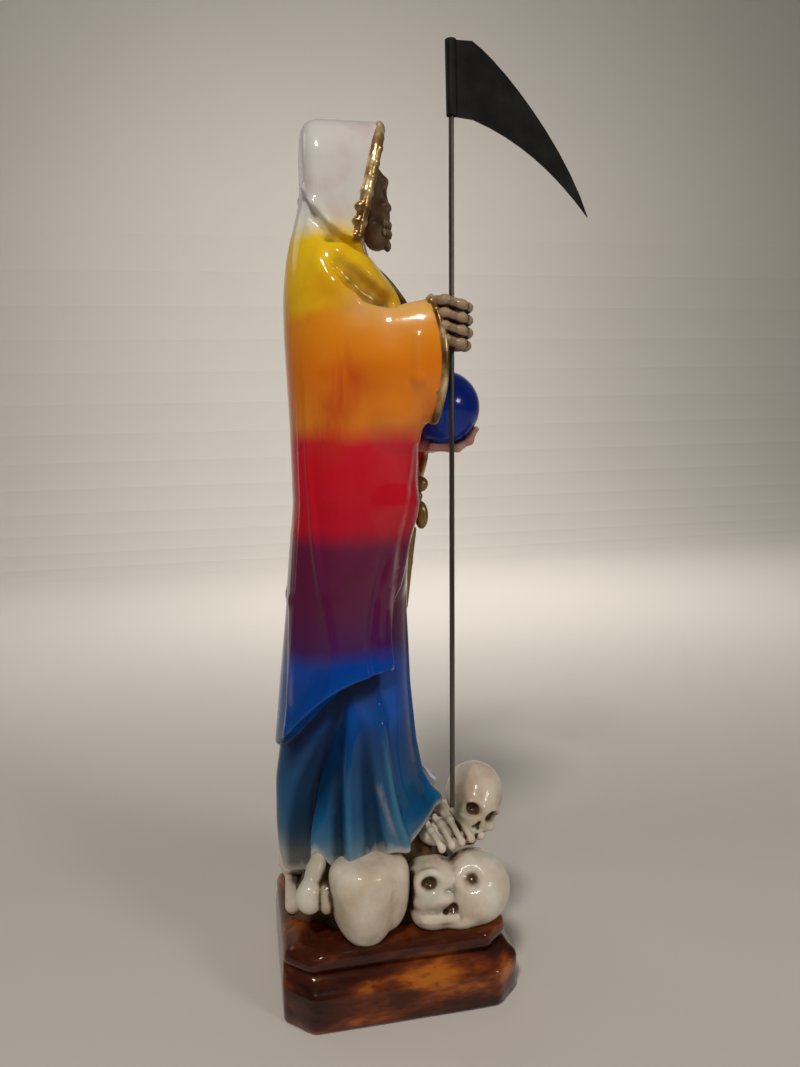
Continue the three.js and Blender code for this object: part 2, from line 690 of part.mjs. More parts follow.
function makeCasting() {
  const hood = makeHood();
  const right = makeRightSleeve();
  const left = makeLeftSleeve();
  const hollowed_hood = solidOf(hood.shell).subtract(solidOf(hood.mouth));
  const body = join([makeRobe(), makeMantle(), right.outer, left.outer, right.drape, left.drape])
    .subtract(join([right.recess, left.recess]));
  const globe = ellipsoid([globe_x, globe_y, globe_z], [globe_radius, globe_radius, globe_radius], 15, 9);
  const whole = join([
    makePlinth(),
    ...makeHeap(),
    body,
    hollowed_hood,
    makeTrim(),
    makeFace(),
    ...makeFist(),
    ...makeLeftHand(),
    globe,
    ...makeCord(),
  ]);
  const hole = rodCylinder(rod_diameter / 2 + rod_clearance, rod_foot_z - rod_seat_depth, blade_top_z);
  return whole.subtract(solidOf(hole));
}

// Blade: a curved sheet cut to shape and wrapped round the rod as a flat sleeve.
function makeBlade() {
  const top = blade_top_z;
  const middle_y = rodPoint(top - blade_socket_height / 2).y;
  const bore = rod_diameter / 2 + blade_fit;
  const shape = new THREE.Shape();
  shape.moveTo(-bore - blade_thickness, 0);
  shape.lineTo(blade_socket_width, 0);
  shape.bezierCurveTo(
    blade_reach * 0.35,
    -blade_drop * 0.1,
    blade_reach * 0.83,
    -blade_drop * 0.57,
    blade_reach,
    -blade_drop,
  );
  shape.bezierCurveTo(
    blade_reach * 0.85,
    -blade_drop * 0.84,
    blade_reach * 0.58,
    -blade_drop * 0.58,
    blade_socket_width,
    -blade_socket_height - 0.8,
  );
  shape.lineTo(-bore - blade_thickness, -blade_socket_height);
  shape.closePath();
  const settings = { depth: blade_thickness, bevelEnabled: false, curveSegments: 10 };
  const sheet = new THREE.ExtrudeGeometry(shape, settings);
  sheet.translate(0, 0, -blade_thickness / 2);
  sheet.rotateX(Math.PI / 2);
  sheet.rotateZ(-Math.PI / 2);
  sheet.translate(rod_x, middle_y, top);
  const socket_radius = bore + blade_thickness;
  const socket = new THREE.CylinderGeometry(socket_radius, socket_radius, blade_socket_height, 12);
  socket.rotateX(Math.PI / 2);
  socket.translate(rod_x, middle_y, top - blade_socket_height / 2);
  const bore_low = top - blade_socket_height - 2;
  return join([sheet, socket]).subtract(solidOf(rodCylinder(bore, bore_low, top + 2, 12)));
}

function namedMesh(name, solid, colour, roughness, metalness) {
  const mesh = new THREE.Mesh(
    geometryOf(solid),
    new THREE.MeshStandardMaterial({ color: colour, roughness, metalness }),
  );
  mesh.name = name;
  return mesh;
}

const figure = new THREE.Group();
figure.name = 'santa_muerte_figure';
figure.add(namedMesh('cast_figure', makeCasting(), 0xb05a3c, 0.22, 0));
const rod = solidOf(rodCylinder(rod_diameter / 2, rod_foot_z, rod_top_z));
figure.add(namedMesh('scythe_rod', rod, 0x3a322e, 0.45, 0.3));
figure.add(namedMesh('scythe_blade', makeBlade(), 0x14130f, 0.6, 0));

export default figure;
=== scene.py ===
# %% [markdown]
# # A skeleton figurine in a seven-colour robe
# The real thing is one resin casting: plinth, heap of skulls, robe, hood, skull face and hands are all one
# piece, sprayed and brushed with glossy paint. A thin rod with a folded sheet blade stands in its right fist.
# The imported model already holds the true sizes, so it is loaded first and everything below fits it.

import math
import bpy
import numpy as np
import openvdb
from mathutils import Matrix, Vector, noise


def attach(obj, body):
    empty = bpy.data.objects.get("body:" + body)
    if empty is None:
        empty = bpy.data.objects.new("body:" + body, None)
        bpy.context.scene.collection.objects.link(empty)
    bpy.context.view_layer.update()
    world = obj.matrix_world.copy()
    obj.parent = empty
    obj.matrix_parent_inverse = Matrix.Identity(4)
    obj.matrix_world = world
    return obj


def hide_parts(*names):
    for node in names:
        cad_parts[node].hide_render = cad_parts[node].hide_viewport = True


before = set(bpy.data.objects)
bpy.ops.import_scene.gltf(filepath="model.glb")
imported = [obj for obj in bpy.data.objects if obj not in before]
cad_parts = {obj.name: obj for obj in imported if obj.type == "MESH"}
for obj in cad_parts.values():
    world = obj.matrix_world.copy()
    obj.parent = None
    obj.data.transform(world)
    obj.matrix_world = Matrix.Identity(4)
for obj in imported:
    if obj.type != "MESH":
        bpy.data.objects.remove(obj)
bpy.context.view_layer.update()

# %% [markdown]
# ## Camera, floor and light
# The photograph was taken from the figure's right side, a little behind it and a little above its middle,
# from only a quarter of a metre away. A short lens at that distance gives the same strong perspective.

# %% Camera where the photograph was taken
mm = 0.001
camera_place = Vector((-0.250, 0.041, 0.168))
camera_turn, camera_pitch, camera_roll = (math.radians(angle) for angle in (-101.0, 6.4, 1.6))
ahead = Vector((
    -math.sin(camera_turn) * math.cos(camera_pitch),
    math.cos(camera_turn) * math.cos(camera_pitch),
    -math.sin(camera_pitch),
))
level = Vector((math.cos(camera_turn), math.sin(camera_turn), 0))
down = ahead.cross(level)
right = math.cos(camera_roll) * level + math.sin(camera_roll) * down
below = -math.sin(camera_roll) * level + math.cos(camera_roll) * down

lens = bpy.data.cameras.new("camera")
photo_height, photo_shift = 1067, 2
lens.sensor_width = 36
lens.lens = 27.46
lens.shift_y = photo_shift / photo_height
camera = bpy.data.objects.new("camera", lens)
camera.matrix_world = Matrix.Translation(camera_place) @ Matrix((right, -below, -ahead)).transposed().to_4x4()
bpy.context.collection.objects.link(camera)
bpy.context.scene.camera = camera
bpy.context.scene.view_settings.view_transform = "Standard"
print("camera", round((camera_place - Vector((0, 0, 0.14))).length, 3), "m from the figure")

# %% Pale paper sweep and soft studio light
sweep_reach, sweep_bend_x, sweep_bend, sweep_height = 4, 0.9, 0.6, 3
sweep = [(-sweep_reach, 0), (sweep_bend_x, 0)]
sweep += [(sweep_bend_x + sweep_bend * math.sin(angle), sweep_bend * (1 - math.cos(angle)))
          for angle in np.linspace(0.12, math.pi / 2, 13)]
sweep.append((sweep_bend_x + sweep_bend, sweep_height))
floor_mesh = bpy.data.meshes.new("floor")
floor_mesh.from_pydata(
    [(px, side * sweep_reach, pz) for px, pz in sweep for side in (-1, 1)], [],
    [(2 * spot, 2 * spot + 2, 2 * spot + 3, 2 * spot + 1) for spot in range(len(sweep) - 1)])
floor = bpy.data.objects.new("floor", floor_mesh)
bpy.context.collection.objects.link(floor)


def soft_light(name, place, target, width, power, colour):
    lamp = bpy.data.lights.new(name, "AREA")
    lamp.shape, lamp.size, lamp.size_y, lamp.energy, lamp.color = "ELLIPSE", width, width * 0.8, power, colour
    holder = bpy.data.objects.new(name, lamp)
    holder.location = place
    holder.rotation_euler = (Vector(target) - Vector(place)).to_track_quat("-Z", "Y").to_euler()
    bpy.context.collection.objects.link(holder)
    return holder


soft_light("key", (-0.62, 0.26, 0.95), (0, 0, 0.13), 0.2, 5.6, (1.0, 0.94, 0.87))
soft_light("fill", (-0.95, -0.75, 0.55), (0, 0, 0.12), 0.3, 3.0, (1.0, 0.96, 0.92))
soft_light("rim", (0.7, 0.9, 0.9), (0, 0, 0.15), 0.6, 0.8, (0.97, 0.97, 1.0))
soft_light("backdrop", (0.45, -0.15, 0.66), (1.3, -0.25, 0.15), 0.4, 6.0, (1.0, 0.97, 0.93))
world = bpy.data.worlds.new("studio")
world.use_nodes = True
glow = world.node_tree.nodes["Background"]
glow.inputs["Color"].default_value = (0.80, 0.77, 0.73, 1)
glow.inputs["Strength"].default_value = 0.09
bpy.context.scene.world = world
print("four soft lights over a paper sweep")

# %% [markdown]
# ## Clay on a grid
# A cast figure has no sharp joints: robe, sleeves and hood run into each other, and bones sink into bones.
# Each soft region is therefore built as clay on a grid of distances, negative inside. Adding a shape takes
# the smaller distance, cutting takes the larger of the two, and a small blend rounds the seam between them.

# %% Distance helpers
def smooth_min(a, b, blend):
    if blend <= 0:
        return np.minimum(a, b)
    near = np.clip(blend - np.abs(a - b), 0, None) / blend
    return np.minimum(a, b) - near * near * blend / 4


def smooth_max(a, b, blend):
    return -smooth_min(-a, -b, blend)


def smooth_step(low, high, value):
    share = np.clip((value - low) / (high - low), 0, 1)
    return share * share * (3 - 2 * share)


def mix(a, b, share):
    return a + (b - a) * share


far_away = 6.0  # distance that stands for empty space


class Clay:
    """A block of clay in millimetres, held as distances to its surface."""

    def __init__(self, low, high, step):
        self.low = np.array(low, float)
        self.step = step
        count = np.ceil((np.array(high) - self.low) / step).astype(int) + 1
        self.distance = np.full(count, far_away, np.float32)

    def window(self, low, high):
        first = np.clip(np.floor((np.array(low) - self.low) / self.step).astype(int), 0, None)
        last = np.minimum(np.ceil((np.array(high) - self.low) / self.step).astype(int) + 1, self.distance.shape)
        axes = [self.low[axis] + self.step * np.arange(first[axis], last[axis]) for axis in range(3)]
        part = tuple(slice(first[axis], last[axis]) for axis in range(3))
        x, y, z = axes
        return part, x[:, None, None], y[None, :, None], z[None, None, :]

    def add(self, shape, blend=0.0, margin=3.0):
        low, high, distance = shape
        part, x, y, z = self.window(np.array(low) - margin, np.array(high) + margin)
        self.distance[part] = smooth_min(self.distance[part], distance(x, y, z), blend)

    def cut(self, shape, blend=0.0, margin=3.0):
        low, high, distance = shape
        part, x, y, z = self.window(np.array(low) - margin, np.array(high) + margin)
        self.distance[part] = smooth_max(self.distance[part], -distance(x, y, z), blend)

    def add_rods(self, points, radii, blend):
        for rod in chain(points, radii):
            self.add(rod, blend)

    def cut_rods(self, points, radii, blend):
        for rod in chain(points, radii):
            self.cut(rod, blend)

    def sample(self, volume, points):
        place = (points - self.low) / self.step
        base = np.clip(np.floor(place).astype(int), 0, np.array(volume.shape) - 2)
        part = np.clip(place - base, 0, 1)
        total = np.zeros(len(points))
        for corner in np.ndindex(2, 2, 2):
            weight = np.ones(len(points))
            for axis in range(3):
                weight *= part[:, axis] if corner[axis] else 1 - part[:, axis]
            spot = base + corner
            total += weight * volume[spot[:, 0], spot[:, 1], spot[:, 2]]
        return total

    def slope(self, points):
        reach = self.step * 0.6
        slopes = []
        for axis in range(3):
            shift = np.zeros(3)
            shift[axis] = reach
            above = self.sample(self.distance, points + shift)
            slopes.append((above - self.sample(self.distance, points - shift)) / (2 * reach))
        return np.stack(slopes, axis=1)

    def skin(self):
        """Four-sided faces over the surface, evened out and set back onto it."""
        grid = openvdb.FloatGrid(3.0)
        grid.copyFromArray(self.distance)
        points, quads = grid.convertToQuads(0.0)
        points = points.astype(float) * self.step + self.low
        quads = quads.astype(int)
        sides = np.vstack([quads[:, [0, 1]], quads[:, [1, 2]], quads[:, [2, 3]], quads[:, [3, 0]]])
        number = len(points)
        around = np.bincount(sides.ravel(), minlength=number)[:, None]
        for _ in range(3):
            total = np.stack([
                np.bincount(sides[:, 0], weights=points[sides[:, 1], axis], minlength=number)
                + np.bincount(sides[:, 1], weights=points[sides[:, 0], axis], minlength=number)
                for axis in range(3)], axis=1)
            points = 0.4 * points + 0.6 * total / around
            slope = self.slope(points)
            size = np.maximum((slope ** 2).sum(axis=1), 0.2)
            move = self.sample(self.distance, points) / size
            points = points - slope * np.clip(move, -0.5 * self.step, 0.5 * self.step)[:, None]
        faces = np.vstack([quads[:, [0, 1, 2]], quads[:, [0, 2, 3]]])
        return points, facing_out(points, faces)

    def hollowness(self, points, reach):
        """How much clay stands around each point: above 0 in a crease, below 0 on a ridge."""
        filled = np.clip(0.5 - self.distance / self.step, 0, 1)
        steps = max(1, round(reach / self.step))
        for axis in range(3):
            total = np.cumsum(filled, axis=axis)
            total = np.concatenate([np.zeros_like(np.take(total, [0], axis=axis)), total], axis=axis)
            here = np.arange(filled.shape[axis])
            high = np.clip(here + steps + 1, 0, filled.shape[axis])
            low = np.clip(here - steps, 0, filled.shape[axis])
            filled = (np.take(total, high, axis=axis) - np.take(total, low, axis=axis)) / (2 * steps + 1)
        return self.sample(filled, points) * 2 - 1


def facing_out(points, faces):
    a, b, c = points[faces[:, 0]], points[faces[:, 1]], points[faces[:, 2]]
    volume = (a * np.cross(b, c)).sum()
    return faces if volume > 0 else faces[:, ::-1]


print("clay helpers ready")

# %% [markdown]
# ## Shells of the casting
# Every region becomes a closed shell with its own paint, and at the end all shells are joined in one object,
# because the real casting is one piece. A shell from the grid is thinned, so that flat cloth takes fewer
# triangles than a tooth does, and each point keeps how hollow its place is, for the brown wash and the
# painted shade in creases.

# %% Collect and thin the shells
shells = []


def mesh_of(name, points, faces):
    mesh = bpy.data.meshes.new(name)
    mesh.vertices.add(len(points))
    mesh.vertices.foreach_set("co", np.asarray(points, np.float32).ravel())
    mesh.loops.add(len(faces) * 3)
    mesh.loops.foreach_set("vertex_index", np.asarray(faces, np.int32).ravel())
    mesh.polygons.add(len(faces))
    mesh.polygons.foreach_set("loop_start", np.arange(0, len(faces) * 3, 3, dtype=np.int32))
    mesh.update(calc_edges=True)
    return mesh


def arrays_of(mesh):
    points = np.empty(len(mesh.vertices) * 3, np.float32)
    mesh.vertices.foreach_get("co", points)
    mesh.calc_loop_triangles()
    faces = np.empty(len(mesh.loop_triangles) * 3, np.int32)
    mesh.loop_triangles.foreach_get("vertices", faces)
    return points.reshape(-1, 3).astype(float), faces.reshape(-1, 3)


def thinned(points, faces, target):
    """The same skin with about the target number of triangles."""
    if len(faces) <= target:
        return points, faces
    piece = bpy.data.objects.new("thinning", mesh_of("thinning", points, faces))
    bpy.context.collection.objects.link(piece)
    thin = piece.modifiers.new("thin", "DECIMATE")
    thin.ratio = target / len(faces)
    done = bpy.data.meshes.new_from_object(piece.evaluated_get(bpy.context.evaluated_depsgraph_get()))
    points, faces = arrays_of(done)
    bpy.data.objects.remove(piece)
    bpy.data.meshes.remove(done)
    return points, faces


def keep_shell(name, finish, points, faces, hollow=None):
    hollow = np.zeros(len(points)) if hollow is None else hollow
    shells.append((name, finish, points, faces, hollow))
    print(f"{name}: {len(faces)} triangles")


def keep_clay(name, finish, clay, target, reaches=(1.0, 2.6, 4.6)):
    points, faces = clay.skin()
    points, faces = thinned(points, faces, target)
    hollow = np.max([clay.hollowness(points, reach) for reach in reaches], axis=0)
    keep_shell(name, finish, points, faces, hollow)


# %% Round shapes that most of the bones are made of
def oval(middle, radii, turn=None):
    """An egg shape; turn is a matrix that brings it from its own axes to the figure's."""
    middle, radii = np.array(middle, float), np.array(radii, float)
    reach = radii if turn is None else np.full(3, radii.max())

    def distance(x, y, z):
        px, py, pz = x - middle[0], y - middle[1], z - middle[2]
        if turn is not None:
            px, py, pz = (turn[0][axis] * px + turn[1][axis] * py + turn[2][axis] * pz for axis in range(3))
        length = np.sqrt((px / radii[0]) ** 2 + (py / radii[1]) ** 2 + (pz / radii[2]) ** 2)
        steep = np.sqrt((px / radii[0] ** 2) ** 2 + (py / radii[1] ** 2) ** 2 + (pz / radii[2] ** 2) ** 2)
        return length * (length - 1) / np.maximum(steep, 1e-4)

    return middle - reach, middle + reach, distance


def block(middle, radii):
    """A soft-cornered block."""
    middle, radii = np.array(middle, float), np.array(radii, float)

    def distance(x, y, z):
        total = sum(((value - centre) / radius) ** 4 for value, centre, radius in zip((x, y, z), middle, radii))
        return (total ** 0.25 - 1) * radii.min()

    return middle - radii, middle + radii, distance


def ring(middle, radius, tube):
    """A round ring that lies across the figure's left-right line."""
    middle = np.array(middle, float)

    def distance(x, y, z):
        around = np.sqrt((y - middle[1]) ** 2 + (z - middle[2]) ** 2) - radius
        return np.sqrt(around ** 2 + (x - middle[0]) ** 2) - tube

    return middle - radius - tube, middle + radius + tube, distance


def rod_between(start, end, start_radius, end_radius):
    """A tapered round rod with round ends."""
    start, end = np.array(start, float), np.array(end, float)
    along = end - start
    reach = max(start_radius, end_radius)

    def distance(x, y, z):
        px, py, pz = x - start[0], y - start[1], z - start[2]
        share = np.clip((px * along[0] + py * along[1] + pz * along[2]) / (along @ along), 0, 1)
        px, py, pz = px - share * along[0], py - share * along[1], pz - share * along[2]
        return np.sqrt(px ** 2 + py ** 2 + pz ** 2) - mix(start_radius, end_radius, share)

    return np.minimum(start, end) - reach, np.maximum(start, end) + reach, distance


def chain(points, radii):
    """Rods from point to point."""
    return [rod_between(points[spot], points[spot + 1], radii[spot], radii[spot + 1])
            for spot in range(len(points) - 1)]


def turned(yaw, pitch, roll):
    """Matrix rows for a piece rolled about its view line, pitched and then turned about the upright."""
    matrix = (Matrix.Rotation(math.radians(yaw), 3, "Z") @ Matrix.Rotation(math.radians(pitch), 3, "X")
              @ Matrix.Rotation(math.radians(roll), 3, "Y"))
    return [list(row) for row in matrix]


print("round shapes ready")

# %% [markdown]
# ## Sizes shared by the pieces
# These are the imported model's own sizes, in millimetres, so that every detail lands on its solid.

# %% Sizes in millimetres
plinth_length, plinth_width, plinth_corner, plinth_height = 72, 66, 8, 22
hem_z, robe_rise, body_y = 44, 184, 7
shoulder_z, hood_top_z = 228, 262.6
hem_front_lift, hem_train_drop, cape_back_rise = 13, 8, 15
cuff_x, cuff_y, left_cuff_y, cuff_half_height, sleeve_swing = -20, -16.2, -18.2, 17.5, 1.5
rod_x, rod_foot_y, rod_top_y, rod_foot_z, rod_top_z = -23.5, -16.7, -20.9, 59.7, 273.5
globe_middle, globe_radius = (2, -22.8, 179), 11.6
cloth_triangles, heap_triangles = 70000, 48000  # the two large shells leave room for all the small ones


def rod_y(z):
    return mix(rod_foot_y, rod_top_y, (z - rod_foot_z) / (rod_top_z - rod_foot_z))


# %% [markdown]
# ## The robe as clay
# The robe is a tall oval whose reach to the back, front and sides changes with height. Its outline comes from
# a short table smoothed into a curve. Folds are rounded ridges and hollows that follow a turn around the body
# and die out on their way up; the mantle is a second layer, cut to its own hem and front edges.

# %% Robe outline and folds
robe_table = np.array([
    (0, 27, 25, 23.4), (0.03, 28, 25.4, 23.2), (0.065, 28.2, 21.5, 22.2), (0.12, 27.6, 18.8, 20.6),
    (0.18, 25.6, 16.9, 19.4), (0.28, 23.4, 15.5, 18.4), (0.4, 20.6, 15.5, 17.8), (0.5, 18.6, 16.8, 17.5),
    (0.58, 17, 18.6, 17.6), (0.72, 17, 19, 18.6), (0.85, 17.6, 17.2, 19.8), (0.91, 17.4, 13.6, 18.4),
    (0.95, 15.6, 8.4, 15), (0.975, 13.8, 5.2, 12.4), (1, 12.2, 3.6, 10.4)])
shares = np.linspace(0, 1, 401)
bell = np.exp(-np.linspace(-2.2, 2.2, 17) ** 2)
robe_curves = [np.convolve(np.pad(np.interp(shares, robe_table[:, 0], robe_table[:, column]), 8, "edge"),
                           bell / bell.sum(), "valid") for column in (1, 2, 3)]
squareness = 0.88
nearness = 0.93  # a slanted wall is nearer than the gap along a line from the middle
hem_share, cape_share, cape_part = 0.12, 0.9, 0.1  # shares of the rise that follow the hem and the cape's edge
mantle_hem_front, mantle_hem_back = 0.317, 0.175

# The broad fold behind the side, which is also painted dark as shade, sweeps forward as it rises.
dark_fold_low, dark_fold_high, dark_fold_end = -151, -102, 0.32

# Folds: turn at the hem, turn where it ends, width in degrees, height, and the share where it has died out.
skirt_folds = [
    (-172, -170, 10, 0.8, 0.5), (dark_fold_low, dark_fold_high, 13, -6.0, dark_fold_end),
    (-130, -119, 5, 1.5, 0.3), (-112, -108, 4, -2.4, 0.28), (-103, -101, 3.4, 2.0, 0.3),
    (-89, -94, 5, -3.0, 0.3), (-71, -83, 4, 2.8, 0.36),
    (-24, -27, 4, 1.6, 0.45), (-10, -10, 6, -2.2, 0.5), (4, 3, 6, 0.8, 0.5),
    (17, 15, 6, -1.8, 0.5), (30, 29, 6, 1.0, 0.4), (50, 50, 9, -1.6, 0.3), (68, 72, 6, 1.6, 0.34),
    (88, 88, 7, -2.0, 0.3), (106, 105, 7, 1.0, 0.34), (128, 127, 9, -2.8, 0.34), (150, 150, 10, 0.8, 0.5),
    (172, 170, 9, -1.0, 0.4)]


def curve_at(column, share):
    return np.interp(share, shares, robe_curves[column])


def hem_lift(turn):
    front = (1 + np.cos(turn)) / 2
    notch = 7.5 * np.exp(-((np.degrees(turn) + 127) / 8) ** 2)
    corner = -1.0 * np.exp(-((np.degrees(turn) + 68) / 10) ** 2)
    return hem_front_lift * front ** 3 - hem_train_drop * (1 - front) ** 3 + notch + corner


def mantle_hem_share(turn):
    """Share of the rise where the mantle's hem lies; it is lowest at the back."""
    return mix(mantle_hem_front, mantle_hem_back, ((1 - np.cos(turn)) / 2) ** 3.5)


def robe_place(x, y, z):
    """Turn from the front, share of the rise and distance from the plain robe, for places in the block."""
    straight = (z - hem_z) / robe_rise
    in_front = y < body_y
    across = (np.abs(x) / curve_at(2, straight)) ** (1 / squareness)
    along = (np.abs(y - body_y) / np.where(in_front, curve_at(1, straight), curve_at(0, straight)))
    along = along ** (1 / squareness) * np.where(in_front, 1, -1)
    turn = np.arctan2(across, along) * np.where(x < 0, -1, 1)
    lift = hem_lift(turn)
    low_share = (z - hem_z - lift) / (robe_rise - lift / hem_share)
    cape = cape_back_rise * (1 - np.cos(turn)) / 2
    high_share = cape_share + (z - hem_z - cape_share * robe_rise) / (cape_part * robe_rise + cape) * cape_part
    share = np.where(low_share < hem_share, low_share, np.where(straight > cape_share, high_share, straight))
    reach = np.where(in_front, curve_at(1, share), curve_at(0, share))
    level = ((np.abs(x) / curve_at(2, share)) ** (2 / squareness)
             + (np.abs(y - body_y) / reach) ** (2 / squareness)) ** (squareness / 2)
    radius = np.sqrt(x ** 2 + (y - body_y) ** 2)
    distance = nearness * radius * (1 - 1 / np.maximum(level, 0.05))
    return turn, share, radius, distance


def fold_height(turn, share):
    degrees = np.degrees(turn)
    total = 0
    for low_turn, high_turn, width, height, end in skirt_folds:
        rise = np.clip(share / end, 0, 1)
        away = degrees - mix(low_turn, high_turn, rise)
        away = (away + 180) % 360 - 180
        total = total + height * (1 - rise) ** 0.8 * np.exp(-(away / width) ** 2)
    return total - 0.9 * np.clip(1 - share / 0.3, 0, 1)


# %% Skirt, mantle and cape
mantle_thickness = 1.3
cloth = Clay((-30, -25, 32), (26, 40, 266), 0.5)
part, x, y, z = cloth.window((-40, -40, 0), (40, 60, 300))
turn, share, radius, plain = robe_place(x, y, z)
folded = plain - fold_height(turn, share)
hem_here = hem_z + hem_lift(turn)
top_here = shoulder_z + cape_back_rise * (1 - np.cos(turn)) / 2

mantle_hem = mantle_hem_share(turn)
mantle_rise = (share - mantle_hem) / (0.99 - mantle_hem)
edge_turn = np.radians(mix(65, 21, smooth_step(0.05, 0.62, mantle_rise)))
edge_gap = (edge_turn - np.abs(turn)) * radius
hem_gap = (mantle_hem - share) * robe_rise

# The skirt is drawn in a little where the mantle's hem overhangs it.
side_degrees = np.degrees(np.abs(turn))
at_side = smooth_step(168, 140, side_degrees)
drawn_in = 1.8
folded = folded + (drawn_in * at_side * smooth_step(-2, 2, hem_gap) * smooth_step(26, 6, hem_gap)
                   * smooth_step(3, -3, edge_gap))
body = smooth_max(folded, hem_here - z, 1.6)
body = smooth_max(body, z - top_here, 3.0)

strip = smooth_step(0.42, 0.25, mantle_rise) * np.exp(-((edge_gap + 7.2) / 1.3) ** 2)
roll = 0.6 * np.exp(-((edge_gap + 1.3) / 1.1) ** 2)
flare = 1.5 * at_side * np.exp(np.clip(hem_gap, None, 0) / 5)
crease = 0.8 * np.exp(-((side_degrees - mix(112, 140, smooth_step(0.3, 0.65, share))) / 4) ** 2)
seam = 0.6 * np.exp(-((side_degrees - 152) / 3) ** 2)
thickness = mantle_thickness * smooth_step(1.0, 0.93, share)
cover = plain - thickness - roll - flare + 0.9 * strip - (crease + seam) * smooth_step(0.85, 0.6, share)
cover = smooth_max(cover, smooth_max(edge_gap, hem_gap, 1.6), 0.9)
cover = smooth_max(cover, z - top_here, 2.0)
body = smooth_min(body, cover, 0.5)

# The hem is a thick edge round a hollow that the bones stand in.
inner = np.maximum(folded + 2.6, z - hem_here - 6)
body = smooth_max(body, -inner, 1.0)
cloth.distance[part] = body
print("robe and mantle shaped on", cloth.distance.size, "grid points")

# %% Hood: a round-topped tube from back to front, hollowed at its mouth
hood_half_width, hood_back_y, hood_front_y, hood_lean, hood_wall, hood_depth = 12.2, 19.2, -4.2, 0.26, 2.2, 11


def arch(half_width, top, x, z):
    spring = top - half_width * 1.15
    round_part = np.sqrt((x / half_width) ** 2 + (np.clip(z - spring, 0, None) / (top - spring)) ** 2)
    return (round_part - 1) * half_width


def hood_shape(x, y, z):
    half_width = hood_half_width * (0.93 + 0.07 * smooth_step(hood_front_y, 8, y))
    side = arch(half_width, hood_top_z, x, z)
    side = smooth_max(side, y - hood_back_y, 5.5)
    side = smooth_max(side, hood_front_y + hood_lean * (hood_top_z - z) - y, 0.7)
    return smooth_max(side, 227 - (y - hood_front_y) * 0.9 - z, 1.0)


def mouth_shape(x, y, z):
    side = arch(hood_half_width * 0.93 - hood_wall, hood_top_z - hood_wall, x, z)
    return smooth_max(side, y - (hood_front_y + hood_depth), 3.0)


cloth.add(((-13, -6, 205), (13, 20, 264), hood_shape), 0.9)
hood_rim = [(-6.5, 18.7, 241.6), (-10.4, 16.9, 236.0), (-12.2, 12.4, 230.4), (-11.4, 6.6, 228.0)]
groove = [(-7.8, 19.6, 238.2), (-11.6, 17.6, 232.6), (-13.4, 12.8, 227.0), (-12.8, 6.0, 224.0),
          (-10.8, 1.2, 222.4)]
for side in (-1, 1):
    cloth.add_rods([(-side * px, py, pz) for px, py, pz in hood_rim], [0.9, 1.2, 1.3, 0.8], 2.0)
    cloth.cut_rods([(-side * px, py, pz) for px, py, pz in groove], [1.2, 1.6, 1.9, 1.9, 1.4], 1.6)
cloth.cut(((-11, -14, 226), (11, 8, 261), mouth_shape), 0.6)
print("hood set on the robe")

# %% Sleeves: tall ovals that widen to bell mouths
right_sleeve = np.array([  # y, middle x, middle z, half width, half height
    (cuff_y, cuff_x, 191.5, 7.5, cuff_half_height), (-11.4, -19.2, 191.8, 7.35, 16.2),
    (-4, -17, 192.6, 6.9, 14.3), (5, -13.6, 193.8, 6.5, 13.2), (12, -10, 195, 6, 12.5)])
left_sleeve = np.array([
    (left_cuff_y, 12.5, 170.5, 7.5, 15), (-8, 15.2, 176, 7.1, 15.5),
    (1, 15.5, 190, 7, 16.5), (9, 11, 202, 6.5, 15)])


def sleeve_shape(table, shrink, front_shift, back_y, lean):
    def distance(x, y, z):
        def sizes_at(place):
            return [np.interp(place, table[:, 0], table[:, column]) for column in (1, 2, 3, 4)]

        middle_x, middle_z, width, height = sizes_at(y)
        u, v = (x - middle_x) / width, (z - middle_z) / height
        swing = (u * u - v * v) / np.maximum(u * u + v * v, 0.05)
        along = y + sleeve_swing * swing * height / cuff_half_height - lean * (x - middle_x)
        middle_x, middle_z, width, height = sizes_at(along)
        width, height = width - shrink, height - shrink
        u, v = (x - middle_x) / width, (z - middle_z) / height
        length = np.sqrt(u * u + v * v)
        steep = np.sqrt((u / width) ** 2 + (v / height) ** 2)
        side = length * (length - 1) / np.maximum(steep, 1e-3)
        side = smooth_max(side, table[0, 0] + front_shift - along, 0.8)
        return smooth_max(side, y - back_y, 2.0)

    return distance


sleeve_wall, sleeve_recess, right_lean, left_lean = 1.5, 9, -0.16, -0.2
cloth.add(((-29, -19, 172), (-2, 13, 210), sleeve_shape(right_sleeve, 0, 0, 12, right_lean)), 3.0)
cloth.add(((3, -22, 154), (24, 10, 218), sleeve_shape(left_sleeve, 0, 0, 9, left_lean)), 3.0)
cloth.cut(((-27, -24, 174), (-13, -7, 209),
           sleeve_shape(right_sleeve, sleeve_wall, -8, cuff_y + sleeve_recess, right_lean)), 0.7)
cloth.cut(((4, -28, 154), (21, -10, 188),
           sleeve_shape(left_sleeve, sleeve_wall, -8, left_cuff_y + sleeve_recess, left_lean)), 0.7)
print("sleeves and their hollow mouths done")

